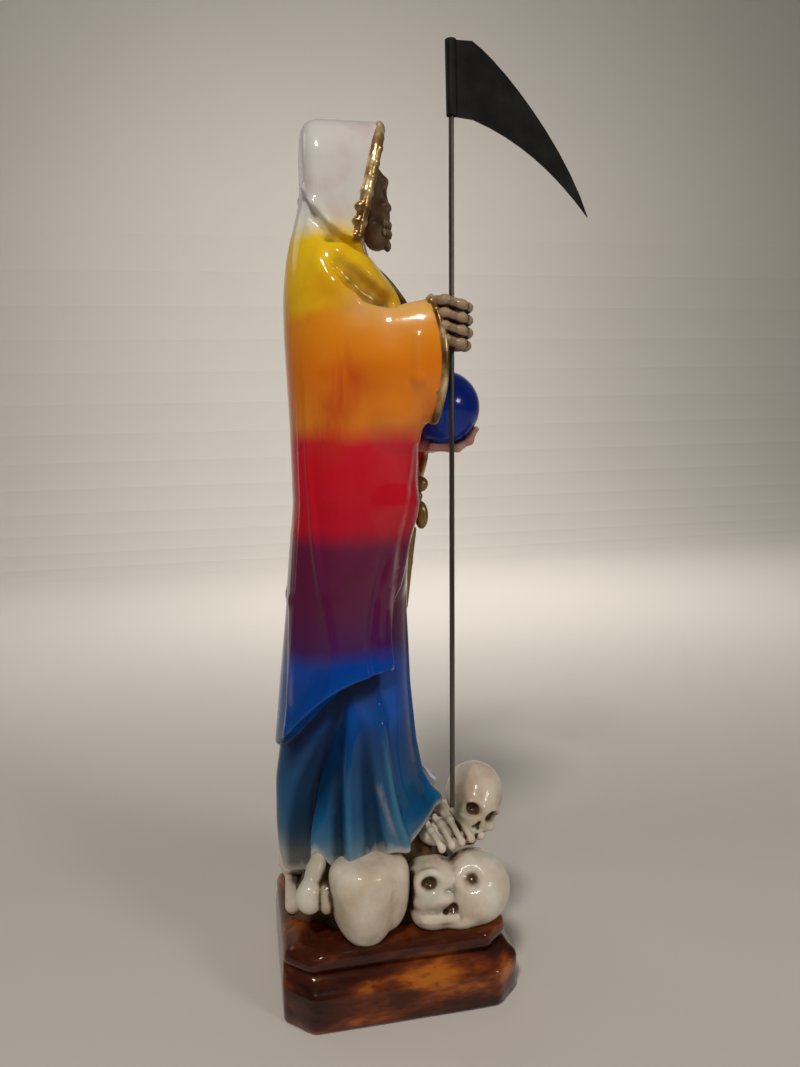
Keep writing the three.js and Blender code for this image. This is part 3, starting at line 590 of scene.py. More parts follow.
# %% Shoulder folds between the cape and the sleeve
shoulder_hollow = [(17.6, 6.0, 213.6), (17.0, 2.4, 210.8), (15.2, -1.4, 208.6)]
for side in (-1, 1):
    for points, radii, blend, shape in [
            ([(13.0, 14.6, 222.6), (14.8, 10.4, 221.4), (14.8, 5.0, 217.0)], [1.3, 1.6, 1.2], 3.0, cloth.add),
            ([(14.8, 16.0, 219.0), (16.6, 12.0, 212.6), (17.4, 8.2, 208.4), (17.2, 4.2, 205.4)],
             [1.2, 1.9, 1.9, 1.4], 3.5, cloth.add),
            ([(17.4, 10.8, 217.4), (18.0, 7.4, 214.6), (17.6, 3.2, 211.0), (14.8, -3.0, 207.8)],
             [0.7, 1.4, 1.8, 2.2], 4.0, cloth.cut)]:
        for rod in chain([(side * px, py, pz) for px, py, pz in points], radii):
            shape(rod, blend)

# Below each arm the mantle hangs straight down from the sleeve.
cloth.add_rods([(-16.6, -3.6, 190), (-16.2, -4.2, 176), (-13.6, -3.4, 150), (-12.6, -1, 128)],
               [7.0, 6.8, 5.6, 4.2], 5.0)
cloth.add_rods([(14.4, -2.0, 186), (14.2, -2.4, 168), (12.8, -1.6, 146)], [6.4, 6.0, 5.0], 5.0)

# Fine ridges of the mantle, which are also rubbed pale.
front_edge = [(25.4, -9.3, 197), (25.4, -9.1, 186), (20.5, -9.1, 169.3), (19.2, -8, 160.7), (19.7, -5.1, 146.2),
              (18.5, -2.6, 134.3), (18.2, -1.1, 120.6), (17.2, -0.2, 106)]
back_ridge = [(6.5, 25.7, 142), (7.8, 27.2, 122), (11.1, 29.2, 92)]
skirt_ridge = [(19.5, 4.6, 66), (21.6, 1.6, 55), (22, -2.4, 46)]
for side in (-1, 1):
    for line, radius, depth in ((back_ridge, 1.2, 1.4), (front_edge[:3], 0.9, 0.7)):
        sunk = [(side * (px - depth * 0.7), py - depth * 0.5, pz) for px, py, pz in line]
        cloth.add_rods(sunk, [0.3] + [radius] * (len(line) - 2) + [0.5], 2.4)
keep_clay("cloth", "robe", cloth, cloth_triangles)

# %% [markdown]
# ## Skulls and bones under the hem
# The heap is made the same way, on a finer grid. One function gives a skull of unit size with brow, cheeks,
# sockets, nose and teeth, and each skull of the heap is that shape turned and sunk in its place.

# %% One skull, looking forward, its crown one radius wide
tooth_line, tooth_waves = -0.74, 7


def skull_parts():
    solid = [((0, 0.35, 0.3), (0.92, 1.12, 1.0), 0.0), ((0, -0.34, -0.24), (0.66, 0.58, 0.72), 0.35),
             ((0, -0.66, 0.20), (0.60, 0.22, 0.14), 0.25), ((0, -0.40, -0.86), (0.46, 0.46, 0.34), 0.18)]
    hollow = [((0, -1.02, -0.30), (0.10, 0.30, 0.16), 0.08)]
    for side in (-1, 1):
        solid.append(((side * 0.58, -0.50, -0.26), (0.20, 0.30, 0.13), 0.2))
        hollow.append(((side * 0.39, -0.90, 0.06), (0.265, 0.44, 0.235), 0.12))
        hollow.append(((side * 0.09, -1.02, -0.42), (0.08, 0.26, 0.09), 0.08))
        hollow.append(((side * 0.92, -0.25, -0.05), (0.16, 0.42, 0.34), 0.3))
    return solid, hollow


def skull(place, radius, turn):
    """A whole skull as one shape; turn brings it from its own axes to the figure's."""
    solid, hollow = skull_parts()

    def distance(x, y, z):
        px, py, pz = x - place[0], y - place[1], z - place[2]
        u, v, w = ((turn[0][axis] * px + turn[1][axis] * py + turn[2][axis] * pz) / radius for axis in range(3))
        total = np.float32(9)
        for middle, radii, blend in solid:
            total = smooth_min(total, oval(middle, radii)[2](u, v, w), blend)
        angle = np.arctan2(u, -v - 0.1)
        in_front = v < -0.3
        row = np.exp(-((w - tooth_line) / 0.16) ** 4) * in_front
        total = total + row * (0.035 - 0.05 * np.abs(np.cos(angle * tooth_waves)))
        total = total + 0.07 * np.exp(-((w - tooth_line) / 0.022) ** 2) * in_front
        for middle, radii, blend in hollow:
            total = smooth_max(total, -oval(middle, radii)[2](u, v, w), blend)
        return total * radius

    reach = 1.6 * radius
    return np.array(place) - reach, np.array(place) + reach, distance


# %% Heap: turned skulls, bare crowns and long bones
heap = Clay((-35, -43, 20), (34, 38, 69), 0.4)
on_top = plinth_height
heap.add(skull((-8.6, -27.4, on_top + 30.6), 9.6, turned(-86, 4, 30)), 0.3)
heap.add(skull((14, -24, on_top + 9.6), 9.8, turned(26, 4, 4)), 0.3)
heap.add(skull((20, 1, on_top + 9.6), 9.8, turned(88, -4, -8)), 0.3)
heap.add(oval((13, 26, on_top + 8.4), (8.4, 8.4, 8.0)), 0.3)

# The near skull: a round crown with one open socket, and its worn flat face sunk beside it.
heap.add(oval((-19, -24.1, on_top + 9.1), (11.2, 11.2, 11.2)), 0.3)
heap.add(block((-19.0, -10.6, on_top + 10.2), (7.2, 7.0, 8.6)), 1.6)
heap.add(oval((-21.6, -10.6, on_top + 3.6), (5.4, 6.6, 4.6)), 2.0)
heap.add(oval((-23.4, -18.4, on_top + 2.8), (4.8, 6.0, 3.6)), 2.0)
heap.add(ring((-25.0, -8.6, on_top + 15.4), 3.1, 0.8), 2.6)
heap.add(rod_between((-25.2, -5.4, on_top + 9.6), (-26.6, -13.6, on_top + 10.4), 1.1, 1.3), 2.4)
for middle_x, middle_y, rise, radii, blend in [
        (-29.6, -21.0, 16.6, (5.0, 3.3, 3.1), 2.6), (-27.0, -8.6, 15.2, (3.4, 2.7, 2.1), 2.0),
        (-28.0, -15.6, 7.6, (2.8, 1.3, 1.3), 0.8), (-26.6, -13.2, 6.2, (1.8, 0.8, 0.8), 0.6)]:
    heap.cut(oval((middle_x, middle_y, on_top + rise), radii), blend)
for tooth in range(7):
    heap.add(oval((-26.2 - 0.25 * tooth, -6.4 - 1.6 * tooth, on_top + 4.4), (0.35, 0.6, 0.9)), 1.2)


def egg(middle, across, along, drop, crown):
    """An egg on its point: short and broad above its middle and long below it."""
    def distance(x, y, z):
        px, py, pz = x - middle[0], y - middle[1], z - middle[2]
        flat = (px / across) ** 2 + (py / along) ** 2
        top = (flat ** 2 + (np.clip(pz, 0, None) / crown) ** 4) ** 0.25
        point = np.sqrt(flat + (pz / drop) ** 2)
        return (np.where(pz > 0, top, point) - 1) * min(across, along, crown) * 0.95

    reach = np.array((across, along, drop))
    return np.array(middle) - reach, np.array(middle) + reach, distance


# The bare crown shaped like an egg on its point, its top tucked under the hem, with a second lobe beside it.
heap.add(egg((-23.2, 10.6, on_top + 17), 9.6, 10.6, 19.6, 7.6), 0.3)
heap.add(egg((-21.8, 3.6, on_top + 16), 8.1, 6.8, 15.0, 7.4), 0.7)

# Long bones with their knuckles.
shaft = [(-15, 21, on_top + 28), (-18.6, 24.6, on_top + 20.4), (-21, 26.2, on_top + 16)]
heap.add_rods(shaft, [2.7, 2.5, 3.2], 1.6)
heap.add(oval((-21.8, 26.8, on_top + 14.0), (3.9, 4.1, 4.9)), 1.2)
heap.add(oval((-22.5, 22.0, on_top + 13.6), (3.5, 2.6, 4.9)), 0.6)
for points, radii in [([(-6, 31, on_top + 3), (16, 29.6, on_top + 5)], [2.6, 2.6]),
                      ([(19, 28.6, on_top + 4), (19, 28.8, on_top + 8)], [2.6, 2.6]),
                      ([(-7, -29.8, on_top + 2.2), (9, -29, on_top + 1.8)], [2.5, 2.3]),
                      ([(-9, -31.4, on_top + 2.2), (-8.6, -28.4, on_top + 3)], [2.4, 2.4])]:
    heap.add_rods(points, radii, 1.0)
heap.add(oval((20, 18, on_top + 8.6), (6.6, 8, 9.4)), 0.3)

# Foot and toe bones that step out from under the hem: a row of toes, and a row of small knuckles above.
heap.add(oval((-11.5, -14.5, on_top + 24.4), (5, 6, 4.2)), 0.5)
toe_count = 5
knuckles = []
for toe in range(toe_count):
    across = toe / (toe_count - 1)
    root = np.array((-14.6 + 5.4 * across, -10.2 - 13.0 * across, on_top + 30.0))
    bow = 1.2 * math.sin(across * math.pi)
    start = np.array((-19 + 6 * across, -11.1 - 13.5 * across, on_top + 28.6 + bow))
    tip = np.array((-20.6 + 5 * across, -13.9 - 13.7 * across, on_top + 23.4))
    heap.add_rods([root, start, tip], [1.0, 0.95, 1.0], 0.3)
    heap.add(oval(start, (1.3, 1.35, 1.35)), 0.4)
    heap.add(oval(tip, (1.35, 1.3, 1.5)), 0.4)
    knuckles.append(tuple(start + (0, 0, 0.6)))
keep_clay("bone_heap", "bone", heap, heap_triangles, (1.2, 3.0, 5.6))

# %% The mound that the bones are bedded in
mound = Clay((-26, -32, 18), (26, 36, 52), 0.8)


def mound_shape(x, y, z):
    rise = z - plinth_height
    spread = np.interp(rise, [-2, 4, 10, 17, 26], [1.08, 1.02, 0.92, 0.85, 0.80])
    angle = np.arctan2(y - 3.5, x)
    lump = 1 + 0.05 * np.sin(angle * 5 + rise * 0.4) + 0.03 * np.sin(angle * 11 - rise * 0.6)
    ring = np.sqrt((x / 19) ** 2 + ((y - 3.5) / 27) ** 2) / (spread * lump)
    side = (ring - 1) * 19
    return smooth_max(smooth_max(side, rise - 25, 3.0), -2 - rise, 0.5)


mound.add(((-23, -28, 20), (23, 34, 48), mound_shape))
keep_clay("mound", "bedding", mound, 4000)

# %% [markdown]
# ## Face and hands
# The face in the hood and the two hands are small, so each gets its own fine grid. They carry a darker wash
# than the heap does.

# %% Skull face and neck
face = Clay((-10, -11, 212), (10, 15, 256), 0.32)
for middle, radii, blend in [
        ((0, 2.8, 244.4), (7.4, 9.0, 8.1), 0), ((0, -2.4, 236.6), (5.3, 4.8, 8.6), 2.0),
        ((0, -5.1, 245.6), (5.0, 1.7, 1.3), 1.5), ((0, -3.0, 229.8), (3.9, 3.7, 3.7), 1.2),
        ((4.5, -3.6, 238.2), (1.7, 2.6, 1.3), 1.2), ((-4.5, -3.6, 238.2), (1.7, 2.6, 1.3), 1.2),
        ((0, -6.5, 238.6), (0.8, 1.3, 1.6), 0.8), ((0, -6.3, 227.4), (2.2, 1.0, 1.5), 1.0)]:
    face.add(oval(middle, radii), blend)
for middle, radii, blend in [
        ((2.75, -7.4, 242.2), (1.9, 3.2, 1.8), 0.7), ((-2.75, -7.4, 242.2), (1.9, 3.2, 1.8), 0.7),
        ((0.6, -7.6, 236.4), (0.65, 1.8, 1.3), 0.5), ((-0.6, -7.6, 236.4), (0.65, 1.8, 1.3), 0.5),
        ((6.4, -1.6, 240.6), (1.8, 3.4, 3.0), 1.5), ((-6.4, -1.6, 240.6), (1.8, 3.4, 3.0), 1.5),
        ((5.4, -3.2, 233.4), (1.5, 2.6, 1.7), 1.0), ((-5.4, -3.2, 233.4), (1.5, 2.6, 1.7), 1.0)]:
    face.cut(oval(middle, radii), blend)
for tooth in range(-4, 5):
    angle = tooth * 0.27
    for rise in (233.2, 230.7):
        face.add(oval((4.6 * math.sin(angle), -2.6 - 4.5 * math.cos(angle), rise), (0.62, 0.6, 1.2)), 0.25, 1.5)
keep_clay("skull_face", "dark_bone", face, 15000, (0.7, 1.6))

# %% Neck with two cords under the jaw
neck = Clay((-8, -5, 210), (8, 13, 242), 0.45)
neck.add_rods([(0, 6.0, 214), (0, 4.6, 224), (0, 4.4, 237)], [5.0, 3.9, 3.4], 1.0)
for side in (-1, 1):
    neck.add(rod_between((side * 3.4, 3.6, 232), (side * 2.0, -0.4, 219), 1.1, 0.9), 1.2)
keep_clay("neck", "pale_hand", neck, 2600, (0.8, 1.6))

# %% Right fist round the rod
fist = Clay((-31, -29, 189), (-14, -6, 212), 0.32)
fist_top = 206.4
finger_pitch, finger_reach = 3.5, 4.3
for finger in range(4):
    height = fist_top - finger * finger_pitch
    grip_y = rod_y(height)
    reach = finger_reach * (0.88 if finger == 3 else 1)
    points = [(rod_x + 2.6, grip_y + 5.6, height + 1.4), (rod_x - 2.4, grip_y + 2.6, height + 0.9),
              (rod_x - 3.1, grip_y - reach * 0.45, height - 0.5), (rod_x - 0.4, grip_y - reach, height - 0.9),
              (rod_x + 3.2, grip_y - reach * 0.5, height - 1.0)]
    fist.add_rods(points, [1.5, 1.45, 1.4, 1.35, 1.1], 0.2)
    for spot in points[1:4]:
        fist.add(oval(spot, (1.85, 1.85, 1.62)), 0.5)
middle_z = fist_top - 1.5 * finger_pitch
fist.add(oval((rod_x + 1.2, rod_y(middle_z) + 2.2, middle_z), (3.0, 4.0, 5.6)), 0.4)
fist.add_rods([(cuff_x + 1, cuff_y + 9, middle_z - 3), (rod_x + 1, rod_y(middle_z) + 4, middle_z)],
              [2.4, 2.7], 0.8)
fist.add_rods([(rod_x + 3.8, rod_y(208) + 3.2, middle_z + 3.4), (rod_x + 3.4, rod_y(208) - 2.6, middle_z + 5)],
              [1.6, 1.3], 0.5)
fist.cut(rod_between((rod_x, rod_y(180), 180), (rod_x, rod_y(230), 230), 1.1, 1.1), 0, 12)
keep_clay("right_fist", "washed_bone", fist, 14000, (0.6, 1.4))

# %% Left hand under the globe
palm = Clay((-12, -37, 158), (18, -6, 180), 0.34)
globe_x, globe_y, globe_z = globe_middle
palm.add(oval((7.2, -19.2, globe_z - 11.2), (4.8, 6.2, 2.9)))
palm.add_rods([(13, -9, globe_z - 15), (9, -17, globe_z - 11.8)], [2.8, 2.6], 1.0)
for finger in range(4):
    spread = mix(-0.9, 0.9, finger / 3)
    root = globe_x + spread * 6
    points = [(root + 3.4, -18.4, globe_z - 12.2), (root + 0.8, globe_y - 3.4, globe_z - 12.7),
              (root - 0.4, globe_y - 7.8 + abs(spread), globe_z - 10.6),
              (root - 1.2, globe_y - 10.6 + abs(spread) * 2, globe_z - 7.0)]
    palm.add_rods(points, [1.35, 1.2, 1.1, 0.9], 0.3)
    for spot in points[1:3]:
        palm.add(oval(spot, (1.45, 1.45, 1.4)), 0.5)
palm.add_rods([(10.4, -19.6, globe_z - 11), (12.2, -25, globe_z - 7.6), (11.6, -28, globe_z - 3.6)],
              [1.6, 1.3, 1.0], 0.4)
keep_clay("left_hand", "pale_hand", palm, 10000, (0.6, 1.4))

# %% [markdown]
# ## Globe, collar, cord and tassel
# The globe is a plain ball. The collar is a small leaf of cloth at the throat, and the cord drops from the
# left sleeve with a knot, a link and a leaf-shaped tassel, all blobs of clay with a rib pressed in.

# %% Globe as an even ball
def ball_arrays(middle, radius, around=72, up=36):
    points = [(0, 0, 1)]
    for level in range(1, up):
        height = math.pi * level / up
        for step in range(around):
            turn = math.tau * step / around
            points.append((math.sin(height) * math.cos(turn), math.sin(height) * math.sin(turn),
                           math.cos(height)))
    points.append((0, 0, -1))
    last = len(points) - 1
    faces = []
    for step in range(around):
        after = (step + 1) % around
        faces.append((0, 1 + step, 1 + after))
        faces.append((last, last - around + after, last - around + step))
        for level in range(up - 2):
            a, b = 1 + level * around + step, 1 + level * around + after
            faces += [(a, a + around, b + around), (a, b + around, b)]
    return np.array(points) * radius + np.array(middle), np.array(faces)


keep_shell("globe", "globe_blue", *ball_arrays(globe_middle, globe_radius))

# %% Collar, cord and tassel
throat = Clay((-10, -16, 204), (8, 5, 228), 0.36)
lean = turned(0, -41, 0)
throat.add(oval((-1.2, -5.6, 215.2), (5.6, 1.7, 9.2), lean))
throat.add(oval((-1.6, -8.6, 211.2), (3.6, 1.5, 4.6), lean), 1.0)
throat.cut(oval((-2.2, -7.4, 214.6), (2.2, 1.0, 4.6), lean), 0.8)
keep_clay("collar", "collar_brown", throat, 4000, (0.7, 1.6))

cord = Clay((-6, -20, 112), (10, -4, 168), 0.36)
cord_top = globe_z - 18
cord.add_rods([(5, -9, cord_top + 4), (1, -13, cord_top - 3), (0, -13.6, cord_top - 12)], [1.6, 1.5, 1.1], 0.5)
cord.add(oval((0, -14.8, cord_top - 5.6), (2.5, 2.2, 2.4)), 0.6)
cord.add(oval((-0.4, -13.9, cord_top - 9.4), (1.3, 1.2, 1.3)), 0.4)
cord.add(oval((0, -14.6, cord_top - 15.4), (2.3, 2.2, 4.4)), 0.4)
for side in (-1, 0, 1):
    cord.cut(rod_between((-2.4, -14.6 + side * 1.3, cord_top - 12.4), (-2.0, -14.8 + side * 0.6, cord_top - 19),
                         0.35, 0.2), 0.4)
cord.add_rods([(0, -11.4, cord_top - 20), (-0.6, -9.6, cord_top - 30), (0, -8.2, cord_top - 44)],
              [1.5, 1.7, 1.3], 0.5)
keep_clay("cord_and_tassel", "old_gold", cord, 5000, (0.7, 1.6))

# %% [markdown]
# ## Gold edgings
# The hood's mouth and both cuffs carry a raised edging, daubed with gold paint over small lumps. The lumps
# repeat along a path, which is work for Geometry Nodes: one tree takes a path, sweeps a thin band along it,
# sets balls of random size on it, and melts them together through a volume into one hand-modelled bead.

# %% Geometry Nodes tree for a lumpy edging
def lumpy_edging_tree():
    tree = bpy.data.node_groups.new("lumpy_edging", "GeometryNodeTree")
    tree.interface.new_socket("Path", in_out="INPUT", socket_type="NodeSocketGeometry")
    for name, kind, value in [("Band Radius", "Float", 1.0), ("Lump Radius", "Float", 1.6),
                              ("Spacing", "Float", 3.0), ("Seed", "Int", 4), ("Detail", "Float", 0.3)]:
        socket = tree.interface.new_socket(name, in_out="INPUT", socket_type=f"NodeSocket{kind}")
        socket.default_value = value
    tree.interface.new_socket("Finish", in_out="INPUT", socket_type="NodeSocketMaterial")
    tree.interface.new_socket("Edging", in_out="OUTPUT", socket_type="NodeSocketGeometry")
    new, link = tree.nodes.new, tree.links.new
    inputs, output = new("NodeGroupInput"), new("NodeGroupOutput")
    to_curve = new("GeometryNodeMeshToCurve")
    link(inputs.outputs["Path"], to_curve.inputs["Mesh"])
    profile = new("GeometryNodeCurvePrimitiveCircle")
    profile.inputs["Resolution"].default_value = 10
    link(inputs.outputs["Band Radius"], profile.inputs["Radius"])
    band = new("GeometryNodeCurveToMesh")
    band.inputs["Fill Caps"].default_value = True
    link(to_curve.outputs["Curve"], band.inputs["Curve"])
    link(profile.outputs["Curve"], band.inputs["Profile Curve"])
    spots = new("GeometryNodeCurveToPoints")
    spots.mode = "LENGTH"
    link(to_curve.outputs["Curve"], spots.inputs["Curve"])
    link(inputs.outputs["Spacing"], spots.inputs["Length"])
    lump = new("GeometryNodeMeshIcoSphere")
    lump.inputs["Subdivisions"].default_value = 3
    link(inputs.outputs["Lump Radius"], lump.inputs["Radius"])
    sizes, shifts = new("FunctionNodeRandomValue"), new("FunctionNodeRandomValue")
    sizes.data_type = shifts.data_type = "FLOAT_VECTOR"
    sizes.inputs["Min"].default_value, sizes.inputs["Max"].default_value = (0.55,) * 3, (1.0,) * 3
    shifts.inputs["Min"].default_value, shifts.inputs["Max"].default_value = (-0.5,) * 3, (0.5,) * 3
    link(inputs.outputs["Seed"], sizes.inputs["Seed"])
    link(inputs.outputs["Seed"], shifts.inputs["Seed"])
    place = new("GeometryNodeSetPosition")
    link(spots.outputs["Points"], place.inputs["Geometry"])
    link(shifts.outputs["Value"], place.inputs["Offset"])
    copies = new("GeometryNodeInstanceOnPoints")
    link(place.outputs["Geometry"], copies.inputs["Points"])
    link(lump.outputs["Mesh"], copies.inputs["Instance"])
    link(sizes.outputs["Value"], copies.inputs["Scale"])
    together = new("GeometryNodeJoinGeometry")
    real = new("GeometryNodeRealizeInstances")
    link(band.outputs["Mesh"], together.inputs["Geometry"])
    link(copies.outputs["Instances"], together.inputs["Geometry"])
    link(together.outputs["Geometry"], real.inputs["Geometry"])
    volume, skin = new("GeometryNodeMeshToVolume"), new("GeometryNodeVolumeToMesh")
    volume.resolution_mode = skin.resolution_mode = "VOXEL_SIZE"
    volume.inputs["Interior Band Width"].default_value = 1.0
    link(inputs.outputs["Detail"], volume.inputs["Voxel Size"])
    link(inputs.outputs["Detail"], skin.inputs["Voxel Size"])
    link(real.outputs["Geometry"], volume.inputs["Mesh"])
    link(volume.outputs["Volume"], skin.inputs["Volume"])
    finish = new("GeometryNodeSetMaterial")
    link(skin.outputs["Mesh"], finish.inputs["Geometry"])
    link(inputs.outputs["Finish"], finish.inputs["Material"])
    link(finish.outputs["Geometry"], output.inputs["Edging"])
    return tree


edging_tree = lumpy_edging_tree()


def lumpy_edging(name, path, closed, band, lump, spacing, seed, target, finish="gold"):
    """An edging along a path of points in millimetres, kept as one more shell."""
    mesh = bpy.data.meshes.new(name)
    links = [(spot, (spot + 1) % len(path)) for spot in range(len(path) if closed else len(path) - 1)]
    mesh.from_pydata([tuple(point) for point in path], links, [])
    piece = bpy.data.objects.new(name, mesh)
    bpy.context.collection.objects.link(piece)
    nodes = piece.modifiers.new("edging", "NODES")
    nodes.node_group = edging_tree
    sockets = {item.name: item.identifier
               for item in edging_tree.interface.items_tree if item.in_out == "INPUT"}
    for key, value in [("Band Radius", band), ("Lump Radius", lump), ("Spacing", spacing), ("Seed", seed),
                       ("Detail", 0.3)]:
        nodes[sockets[key]] = value
    done = bpy.data.meshes.new_from_object(piece.evaluated_get(bpy.context.evaluated_depsgraph_get()))
    points, faces = arrays_of(done)
    piece.modifiers.remove(nodes)
    bpy.data.objects.remove(piece)
    bpy.data.meshes.remove(done)
    points, faces = thinned(points, facing_out(points, faces), target)
    keep_shell(name, finish, points, faces)


def arch_path():
    edge = hood_half_width * 0.93 + 0.1
    low, top = shoulder_z - 0.5, hood_top_z - 2.6
    spring = hood_top_z - hood_half_width * 1.15
    flat = [(-edge, mix(low, spring, share)) for share in np.linspace(0, 1, 14, endpoint=False)]
    bow = [(-math.cos(angle) * edge, spring + math.sin(angle) * (top - spring))
           for angle in np.linspace(0, math.pi, 25)]
    flat_back = [(-px, pz) for px, pz in reversed(flat)]
    return [(px, hood_front_y + hood_lean * (hood_top_z - pz) - 0.3, pz) for px, pz in flat + bow + flat_back]


def cuff_path(table, lean, count=60):
    _, middle_x, middle_z, width, height = table[0]
    path = []
    for angle in np.linspace(0, math.tau, count, endpoint=False):
        px = math.cos(angle) * (width - 0.5)
        py = table[0, 0] + lean * px - sleeve_swing * math.cos(2 * angle) * height / cuff_half_height
        path.append((middle_x + px, py, middle_z + math.sin(angle) * (height - 0.5)))
    return path


lumpy_edging("hood_edging", arch_path(), False, 1.9, 2.7, 4.2, 11, 9000)
lumpy_edging("right_cuff_edging", cuff_path(right_sleeve, right_lean), True, 1.3, 1.5, 3.4, 2, 5000)
lumpy_edging("left_cuff_edging", cuff_path(left_sleeve, left_lean), True, 1.1, 1.3, 3.4, 9, 4000)

# %% [markdown]
# ## Plinth
# The plinth has eight sides: a tall foot, a rounded shoulder, a narrow neck and a thin slab. Its back end has
# no neck but one plain apron. One outline with softened corners is set at every height of its profile, and a
# slow wave of a few tenths of a millimetre keeps the walls from looking machined.

# %% Plinth from stacked outlines
plinth_profile = [  # inset, height
    (2.2, 0), (0.9, 0), (0.3, 0.35), (0, 1.0), (0.05, 4), (0, 8), (0, 10.4), (0.25, 11.2), (0.9, 11.9),
    (1.9, 12.9), (2.6, 14.2), (3.4, 15.2), (4.3, 15.8), (5.1, 16.1), (5.4, 16.6), (4.9, 16.95), (3.7, 17.1),
    (3.2, 17.5), (3.05, 18.6), (3.2, 20.2), (3.5, 21.2), (4.1, 21.8), (5.2, 22), (10, 22)]
apron_heights, apron_insets = [10.4, 16.5, 19.6, 21.0, 21.8, 22], [0, 0.7, 0.75, 2.4, 3.9, 5.2]


def plinth_outline(inset, back_inset):
    half_x, front, back = plinth_width / 2 - inset, plinth_length / 2 - inset, plinth_length / 2 - back_inset
    corner = plinth_corner - inset * 0.2
    corners = [(-half_x, back - corner), (-half_x, corner - front), (corner - half_x, -front),
               (half_x - corner, -front), (half_x, corner - front), (half_x, back - corner),
               (half_x - corner, back), (corner - half_x, back)]
    outline = []
    soft = 1.5
    for spot, here in enumerate(corners):
        here = Vector(here)
        before, after = Vector(corners[spot - 1]), Vector(corners[(spot + 1) % 8])
        start = here + (before - here).normalized() * soft
        end = here + (after - here).normalized() * soft
        for share in (0, 0.25, 0.5, 0.75, 1):
            outline.append(start.lerp(here, share).lerp(here.lerp(end, share), share))
        far = after + (here - after).normalized() * soft
        for share in np.linspace(0, 1, 8)[1:-1]:
            outline.append(end.lerp(far, share))
    return outline


def plinth_arrays():
    rings = []
    for inset, height in plinth_profile:
        on_apron = height >= apron_heights[0] and inset <= 9
        back_inset = np.interp(height, apron_heights, apron_insets) if on_apron else inset
        rings.append([(point.x, point.y, height) for point in plinth_outline(inset, back_inset)])
    around = len(rings[0])
    points = [point for ring in rings for point in ring] + [(0, 0, 0), (0, 0, plinth_height)]
    faces = []
    for level in range(len(rings) - 1):
        for step in range(around):
            a, b = level * around + step, level * around + (step + 1) % around
            faces += [(a, b, b + around), (a, b + around, a + around)]
    last = (len(rings) - 1) * around
    for step in range(around):
        faces.append((len(points) - 2, (step + 1) % around, step))
        faces.append((len(points) - 1, last + step, last + (step + 1) % around))
    points = np.array(points, float)
    for spot, point in enumerate(points[:-2]):
        wave = 0.35 * noise.noise(Vector(point) * 0.11) + 0.15 * noise.noise(Vector(point) * 0.3)
        inward = -np.array((point[0], point[1], 0)) / max(1, np.hypot(point[0], point[1]))
        points[spot] += inward * (abs(wave)) * (0 if point[2] < 0.1 or point[2] > 21.9 else 1)
    return points, facing_out(points, np.array(faces))


keep_shell("plinth", "lacquered_plinth", *plinth_arrays())

# %% [markdown]
# ## Paints
# All the paints share two effects, so each is a node group: a darkening where the `hollow` mark says that a
# place is a crease, partly a brown wash and partly painted shade, with paint rubbed thin on ridges, and a skin
# of tiny bumps left by the mould.

# %% Node helpers and the two shared groups
def ramp_node(tree, source, stops):
    node = tree.nodes.new("ShaderNodeValToRGB")
    bars = node.color_ramp.elements
    while len(bars) < len(stops):
        bars.new(0.5)
    for bar, (position, colour) in zip(bars, stops):
        bar.position = position
    for bar, (position, colour) in zip(bars, stops):
        bar.color = (*colour, 1)
    tree.links.new(source, node.inputs["Fac"])
    return node.outputs["Color"]


def blend_colours(tree, amount, first, second, kind="MIX"):
    node = tree.nodes.new("ShaderNodeMix")
    node.data_type, node.blend_type = "RGBA", kind
    for socket, value in ((node.inputs["Factor"], amount), (node.inputs[6], first), (node.inputs[7], second)):
        if isinstance(value, bpy.types.NodeSocket):
            tree.links.new(value, socket)
        else:
            socket.default_value = value if isinstance(value, (int, float)) else (*value, 1)
    return node.outputs[2]


def spread(tree, source, from_low, from_high, to_low=0.0, to_high=1.0):
    node = tree.nodes.new("ShaderNodeMapRange")
    node.interpolation_type = "SMOOTHSTEP"
    tree.links.new(source, node.inputs["Value"])
    for name, value in (("From Min", from_low), ("From Max", from_high),
                        ("To Min", to_low), ("To Max", to_high)):
        if isinstance(value, bpy.types.NodeSocket):
            tree.links.new(value, node.inputs[name])
        else:
            node.inputs[name].default_value = value
    return node.outputs["Result"]


def sums(tree, kind, first, second):
    node = tree.nodes.new("ShaderNodeMath")
    node.operation = kind
    for socket, value in ((node.inputs[0], first), (node.inputs[1], second)):
        if isinstance(value, bpy.types.NodeSocket):
            tree.links.new(value, socket)
        else:
            socket.default_value = value
    return node.outputs["Value"]


def clouds(tree, scale, detail=3.0, stretch=(1, 1, 1), rough=0.55):
    place = tree.nodes.new("ShaderNodeTexCoord")
    stretched = tree.nodes.new("ShaderNodeMapping")
    stretched.inputs["Scale"].default_value = stretch
    tree.links.new(place.outputs["Object"], stretched.inputs["Vector"])
    node = tree.nodes.new("ShaderNodeTexNoise")
    node.inputs["Scale"].default_value, node.inputs["Detail"].default_value = scale, detail
    node.inputs["Roughness"].default_value = rough
    tree.links.new(stretched.outputs["Vector"], node.inputs["Vector"])
    return node.outputs["Fac"]


